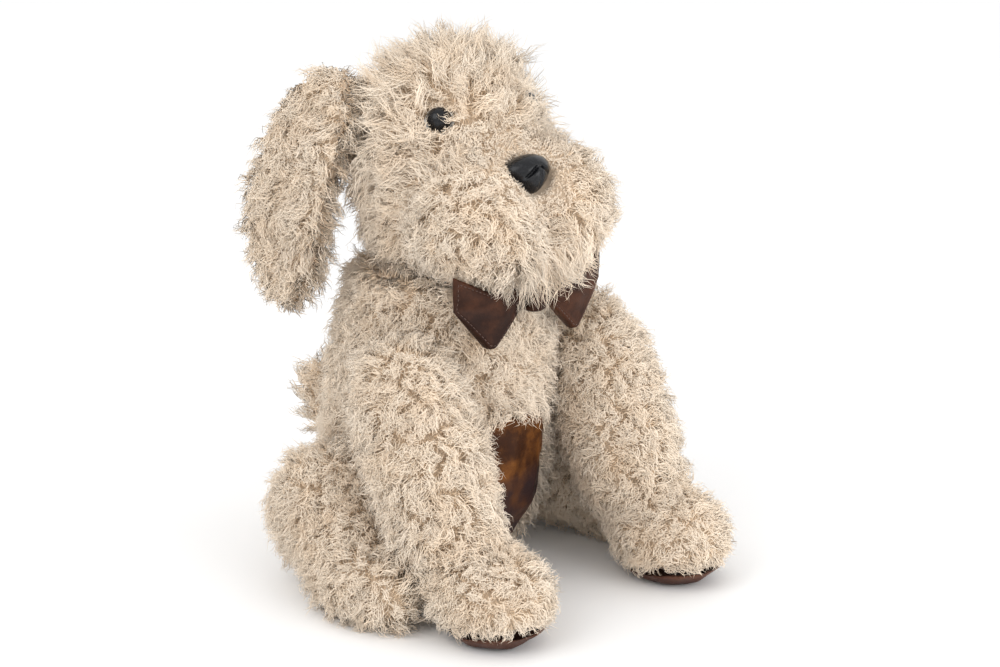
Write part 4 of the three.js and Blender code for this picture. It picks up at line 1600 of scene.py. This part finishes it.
@dataclass
class Eyes:
    """Two domed black buttons."""

    radius: float = 6 * MM
    dome: float = 5.2 * MM
    rings: int = 24
    spokes: int = 48

    def profile(self) -> list[tuple[float, float]]:
        """The button's half section, from its front to its back."""
        points = []
        for i in range(self.rings + 1):
            angle = i / self.rings * math.pi / 2
            points.append((self.radius * math.sin(angle), self.dome * math.cos(angle)))
        rim = self.radius
        points += [(rim * 1.03, -0.3 * MM), (rim * 1.03, -0.9 * MM)]
        points += [(rim * 0.97, -1.2 * MM), (rim * 0.4, -1.3 * MM)]
        return points

    def direction(self, centre: Array) -> Array:
        """The way an eye looks, out from the head's turning point."""
        pivot = next(j for j in frame["record"]["behaviour"]["joints"] if j["name"] == "head_turn")["pos_m"]
        return unit(centre - np.array(pivot))

    def build(self, finishes: Finishes) -> None:
        """Build both eyes.

        Args:
            finishes: The dog's materials.
        """
        for side in Side:
            node = f"eye_{side.word}"
            centre = middle(node)
            forward = self.direction(centre)
            u = unit(np.cross(forward, [0.0, 0.0, 1.0]))
            v = np.cross(forward, u)
            seat = centre + forward * 0.6 * MM
            points = []
            line = self.profile()[1:]
            for radius, height in line:
                for k in range(self.spokes):
                    angle = 2 * math.pi * k / self.spokes
                    spot = radius * (math.cos(angle) * u + math.sin(angle) * v)
                    points.append(seat + spot + height * forward)
            points.append(seat + self.dome * forward)
            faces = ring_faces(len(line), self.spokes, inward=True)
            faces.extend([len(points) - 1, k, (k + 1) % self.spokes] for k in range(self.spokes))
            faces.append([(len(line) - 1) * self.spokes + k for k in reversed(range(self.spokes))])
            piece = mesh_object(f"{node}_button", np.array(points), faces)
            turned_outward(piece)
            dress(piece, finishes.gloss, "head")
            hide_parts(node)
        LOG.info("eyes: two buttons")


# ---------------------------------------------------------------- the dog

LIMBS = ("front_leg", "hind_leg")
BOW_NODES = ["bow_knot", "bow_wing_left", "bow_wing_right"]


class Dog:
    """The whole toy: skins, fur, leather and face.

    Each trim is an inner and an outer radius and the share of the length kept inside.
    """

    HEAD_COAT = Coat(wander=1.5)
    TAIL_COAT = Coat(length=14 * MM, wander=0.8)
    EAR_COAT = Coat(length=11.5 * MM, density=80 / CM2, lay=1.2, wander=0.9)
    NOSE_TRIM = (19 * MM, 34 * MM, 0.22)
    CHIN_TRIM = (12 * MM, 36 * MM, 2.3)
    CROWN_TRIM = (12 * MM, 48 * MM, 1.55)
    EYE_TRIM = (7 * MM, 14 * MM, 0.42)
    TEMPLE_TRIM = (16 * MM, 50 * MM, 1.9)
    JOWL_TRIM = (14 * MM, 30 * MM, 0.6)
    SOLE_TRIM = (28 * MM, 46 * MM, 0.62)
    BELLY_TRIM = (28 * MM, 70 * MM, 0.36)
    PAW_REACH = 52 * MM
    FOOT_REACH = 60 * MM

    def __init__(self, finishes: Finishes) -> None:
        """Keep the finishes."""
        self.finishes = finishes
        self.skins: dict[str, Skin] = {}

    def list_skins(self) -> None:
        """Name every skin with its nodes."""
        torso = ("torso_cover", "torso_stuffing", "belly_panel", "base_panel")
        head, tail = (("head_cover", "head_stuffing"), ("tail_cover", "tail_stuffing"))
        self.skins["torso"] = Skin("torso", "torso", torso, torso[:2])
        self.skins["head"] = Skin("head", "head", head, head)
        self.skins["tail"] = Skin("tail", "tail", tail, tail, 0.6, 2.5 * MM)
        for side in Side:
            word = side.word
            ear = (f"ear_{word}_outer", f"ear_{word}_lining")
            self.skins[f"ear_{word}"] = Skin(
                f"ear_{word}", f"ear_{word}", ear, ear, 0.3, 2.5 * MM, 3.2 * MM, 5
            )
            front = f"front_leg_{word}"
            nodes = (f"{front}_cover", f"{front}_stuffing", f"{front}_sole")
            self.skins[front] = Skin(front, front, nodes, nodes[:2])
            hind = f"hind_leg_{word}"
            nodes = (f"{hind}_cover", f"{hind}_stuffing")
            self.skins[hind] = Skin(hind, hind, nodes, nodes)

    def make_skins(self) -> None:
        """Build, puff and dress the skins."""
        self.list_skins()
        for skin in self.skins.values():
            skin.build(self.finishes)
        Stuffing.puff(list(self.skins.values()))
        for skin in self.skins.values():
            skin.finish(self.finishes)

    def dress_inner(self) -> None:
        """Give the hidden filling, bag and washers their materials."""
        inner = {
            "stuffing": self.finishes.filling,
            "pellet_bag": self.finishes.cotton,
            "pellet_fill": self.finishes.pellets,
            "washer": self.finishes.washer,
        }
        for node in frame["nodes"]:
            for word, material in inner.items():
                if word in node:
                    data = bpy.data.objects[node].data
                    data.materials.clear()
                    data.materials.append(material)

    def grow_fur(self) -> None:
        """Grow the fur on every skin."""
        self.grow_torso()
        self.grow_head()
        fur = Fur(self.skins["tail"].obj, self.TAIL_COAT, TailComb(tuple(frame_joint("tail_wag"))), 41)
        fur.grow(["torso_cover"], [], self.finishes.fur, "tail")
        for number, side in enumerate(Side):
            ear = f"ear_{side.word}"
            fur = Fur(self.skins[ear].obj, self.EAR_COAT, down, 61 + number)
            fur.grow(["head_cover"], [], self.finishes.fur, ear)
            self.grow_legs(side.word, 81 + 10 * number)

    def grow_torso(self) -> None:
        """Grow the torso's fur, with the leather left bare."""
        legs = [f"{limb}_{side.word}_cover" for limb in LIMBS for side in Side]
        near = legs + BOW_NODES + ["head_cover", "tail_cover"]
        fur = Fur(self.skins["torso"].obj, Coat(), down, 1)
        fur.grow(near, [], self.finishes.fur, "torso", ["belly_panel", "base_panel"])

    def face_trims(self) -> list[Trim]:
        """Where the head's fur is cut short or left long."""
        nose = middle("nose")
        head_low, head_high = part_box("head_cover")
        chin = (0.0, nose[1] - 8 * MM, head_low[2] + 12 * MM)
        trims = [Trim(tuple(nose), *self.NOSE_TRIM), Trim(chin, *self.CHIN_TRIM)]
        trims.append(Trim((0.0, 0.0, head_high[2]), *self.CROWN_TRIM))
        for side in Side:
            eye = middle(f"eye_{side.word}")
            trims.append(Trim((eye[0], eye[1], eye[2] + 7 * MM), *self.EYE_TRIM))
        for side in Side:
            root = frame_joint(f"ear_{side.word}_lift")
            temple = (root[0] + side.value * 6 * MM, root[1] - 14 * MM, root[2] - 22 * MM)
            trims.append(Trim(temple, *self.TEMPLE_TRIM))
            jowl = (side.value * 36 * MM, chin[1] + 14 * MM, chin[2])
            trims.append(Trim(jowl, *self.JOWL_TRIM))
        return trims

    def grow_head(self) -> None:
        """Grow the head's fur, with the nose clear and the eyes half hidden."""
        comb = FaceComb(tuple(middle("nose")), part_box("head_cover")[1][2])
        near = ["torso_cover", "nose"] + [f"ear_{side.word}_lining" for side in Side] + BOW_NODES
        fur = Fur(self.skins["head"].obj, self.HEAD_COAT, comb, 21)
        buttons = [f"eye_{side.word}" for side in Side]
        fur.grow(near, self.face_trims(), self.finishes.fur, "head", buttons)

    def grow_legs(self, word: str, seed: int) -> None:
        """Grow the fur of one side's legs.

        Args:
            word: The side's name.
            seed: The number that fixes the random draws.
        """
        fur = self.finishes.fur
        front, hind = f"front_leg_{word}", f"hind_leg_{word}"
        low, high = (np.array(c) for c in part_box(f"{front}_sole"))
        sole = (low + high) / 2
        comb = LegComb((sole[0], low[1], high[2]), self.PAW_REACH)
        belly = middle("belly_panel")
        trims = [Trim((sole[0], sole[1], 0.0), *self.SOLE_TRIM)]
        trims.append(Trim((belly[0], belly[1] - 20 * MM, belly[2]), *self.BELLY_TRIM))
        near = ["torso_cover", f"{hind}_cover", "head_cover"]
        pile = Fur(self.skins[front].obj, Coat(), comb, seed)
        pile.grow(near, trims, fur, front, [f"{front}_sole"])
        low, high = (np.array(c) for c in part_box(f"{hind}_cover"))
        comb = LegComb(((low[0] + high[0]) / 2, low[1], 0.0), self.FOOT_REACH)
        near = ["torso_cover", f"{front}_cover"]
        Fur(self.skins[hind].obj, Coat(), comb, seed + 5).grow(near, [], fur, hind)

    def add_leather(self) -> None:
        """Build the panels, soles and bow tie."""
        finishes = self.finishes
        LeatherPanel("belly_panel", "torso", "leather_belly").build(finishes.belly)
        LeatherPanel("base_panel", "torso", "leather_brown").build(finishes.sole)
        for side in Side:
            leg = f"front_leg_{side.word}"
            LeatherPanel(f"{leg}_sole", leg, "leather_brown").build(finishes.sole)
        BowTie().build(finishes)

    def add_face(self) -> None:
        """Build the nose and eyes."""
        Nose().build(self.finishes.nose)
        Eyes().build(self.finishes)


def frame_joint(name: str) -> list[float]:
    """A joint's place."""
    return next(j for j in frame["record"]["behaviour"]["joints"] if j["name"] == name)["pos_m"]


# ---------------------------------------------------------------- studio


@dataclass
class Studio:
    """A pale floor, soft light and the camera."""

    azimuth: float = -43.0
    elevation: float = 16.0
    distance: float = 1.354
    lens: float = 97.5
    sensor: float = 36.0
    target: tuple[float, float, float] = (0.0, -0.0292, 0.128)
    floor_size: float = 60.0

    def towards_camera(self) -> Vector:
        """The direction from the target to the camera."""
        turn, lift = math.radians(self.azimuth), math.radians(self.elevation)
        return Vector(
            (math.sin(turn) * math.cos(lift), -math.cos(turn) * math.cos(lift), math.sin(lift))
        )

    def floor(self) -> None:
        """Lay the floor."""
        half = self.floor_size / 2
        corners = np.array([[-half, -half, 0], [half, -half, 0], [half, half, 0], [-half, half, 0]])
        floor = mesh_object("floor", corners, [[0, 1, 2, 3]])
        material, tree, shader = start_material("pale_floor")
        shader.inputs["Base Color"].default_value = (0.93, 0.93, 0.93, 1.0)
        shader.inputs["Roughness"].default_value = 0.9
        shader.inputs["Specular IOR Level"].default_value = 0.1
        floor.data.materials.append(material)

    def lamp(self, name: str, place: Vector, size: float, power: float) -> None:
        """Hang one soft lamp that looks at the dog.

        Args:
            name: The lamp's name.
            place: Where it hangs.
            size: The side of its square face.
            power: Its power in watts.
        """
        data = bpy.data.lights.new(name, "AREA")
        data.size = size
        data.energy = power
        lamp = link(bpy.data.objects.new(name, data))
        lamp.location = place
        lamp.rotation_euler = (Vector(self.target) - place).to_track_quat("-Z", "Y").to_euler()

    def light(self) -> None:
        """Light the dog softly from all round, with one lamp above and one beside."""
        world = bpy.data.worlds.new("studio")
        world.use_nodes = True
        background = world.node_tree.nodes["Background"]
        background.inputs["Color"].default_value = (1.0, 1.0, 1.0, 1.0)
        background.inputs["Strength"].default_value = 1.05
        bpy.context.scene.world = world
        back = self.towards_camera()
        side = Vector((-back.y, back.x, 0)).normalized()
        self.lamp("key", Vector(self.target) + back * 1.0 - side * 0.9 + Vector((0, 0, 0.8)), 1.1, 7.5)
        self.lamp("fill", Vector(self.target) + back * 1.0 + side * 1.1 + Vector((0, 0, 0.1)), 1.1, 8.0)
        bpy.context.scene.view_settings.view_transform = "Standard"

    def camera(self) -> None:
        """Set up the camera."""
        data = bpy.data.cameras.new("camera")
        data.lens = self.lens
        data.sensor_width = self.sensor
        camera = link(bpy.data.objects.new("camera", data))
        back = self.towards_camera()
        camera.location = Vector(self.target) + back * self.distance
        camera.rotation_euler = (-back).to_track_quat("-Z", "Y").to_euler()
        bpy.context.scene.camera = camera

    def build(self) -> None:
        """Build the whole studio."""
        self.floor()
        self.light()
        self.camera()
        LOG.info("studio: floor, lamps and camera")


def main() -> None:
    """Build the dog and its studio."""
    finishes = Finishes()
    dog = Dog(finishes)
    dog.dress_inner()
    dog.make_skins()
    dog.grow_fur()
    dog.add_leather()
    dog.add_face()
    Studio().build()


if __name__ == "__main__":
    main()
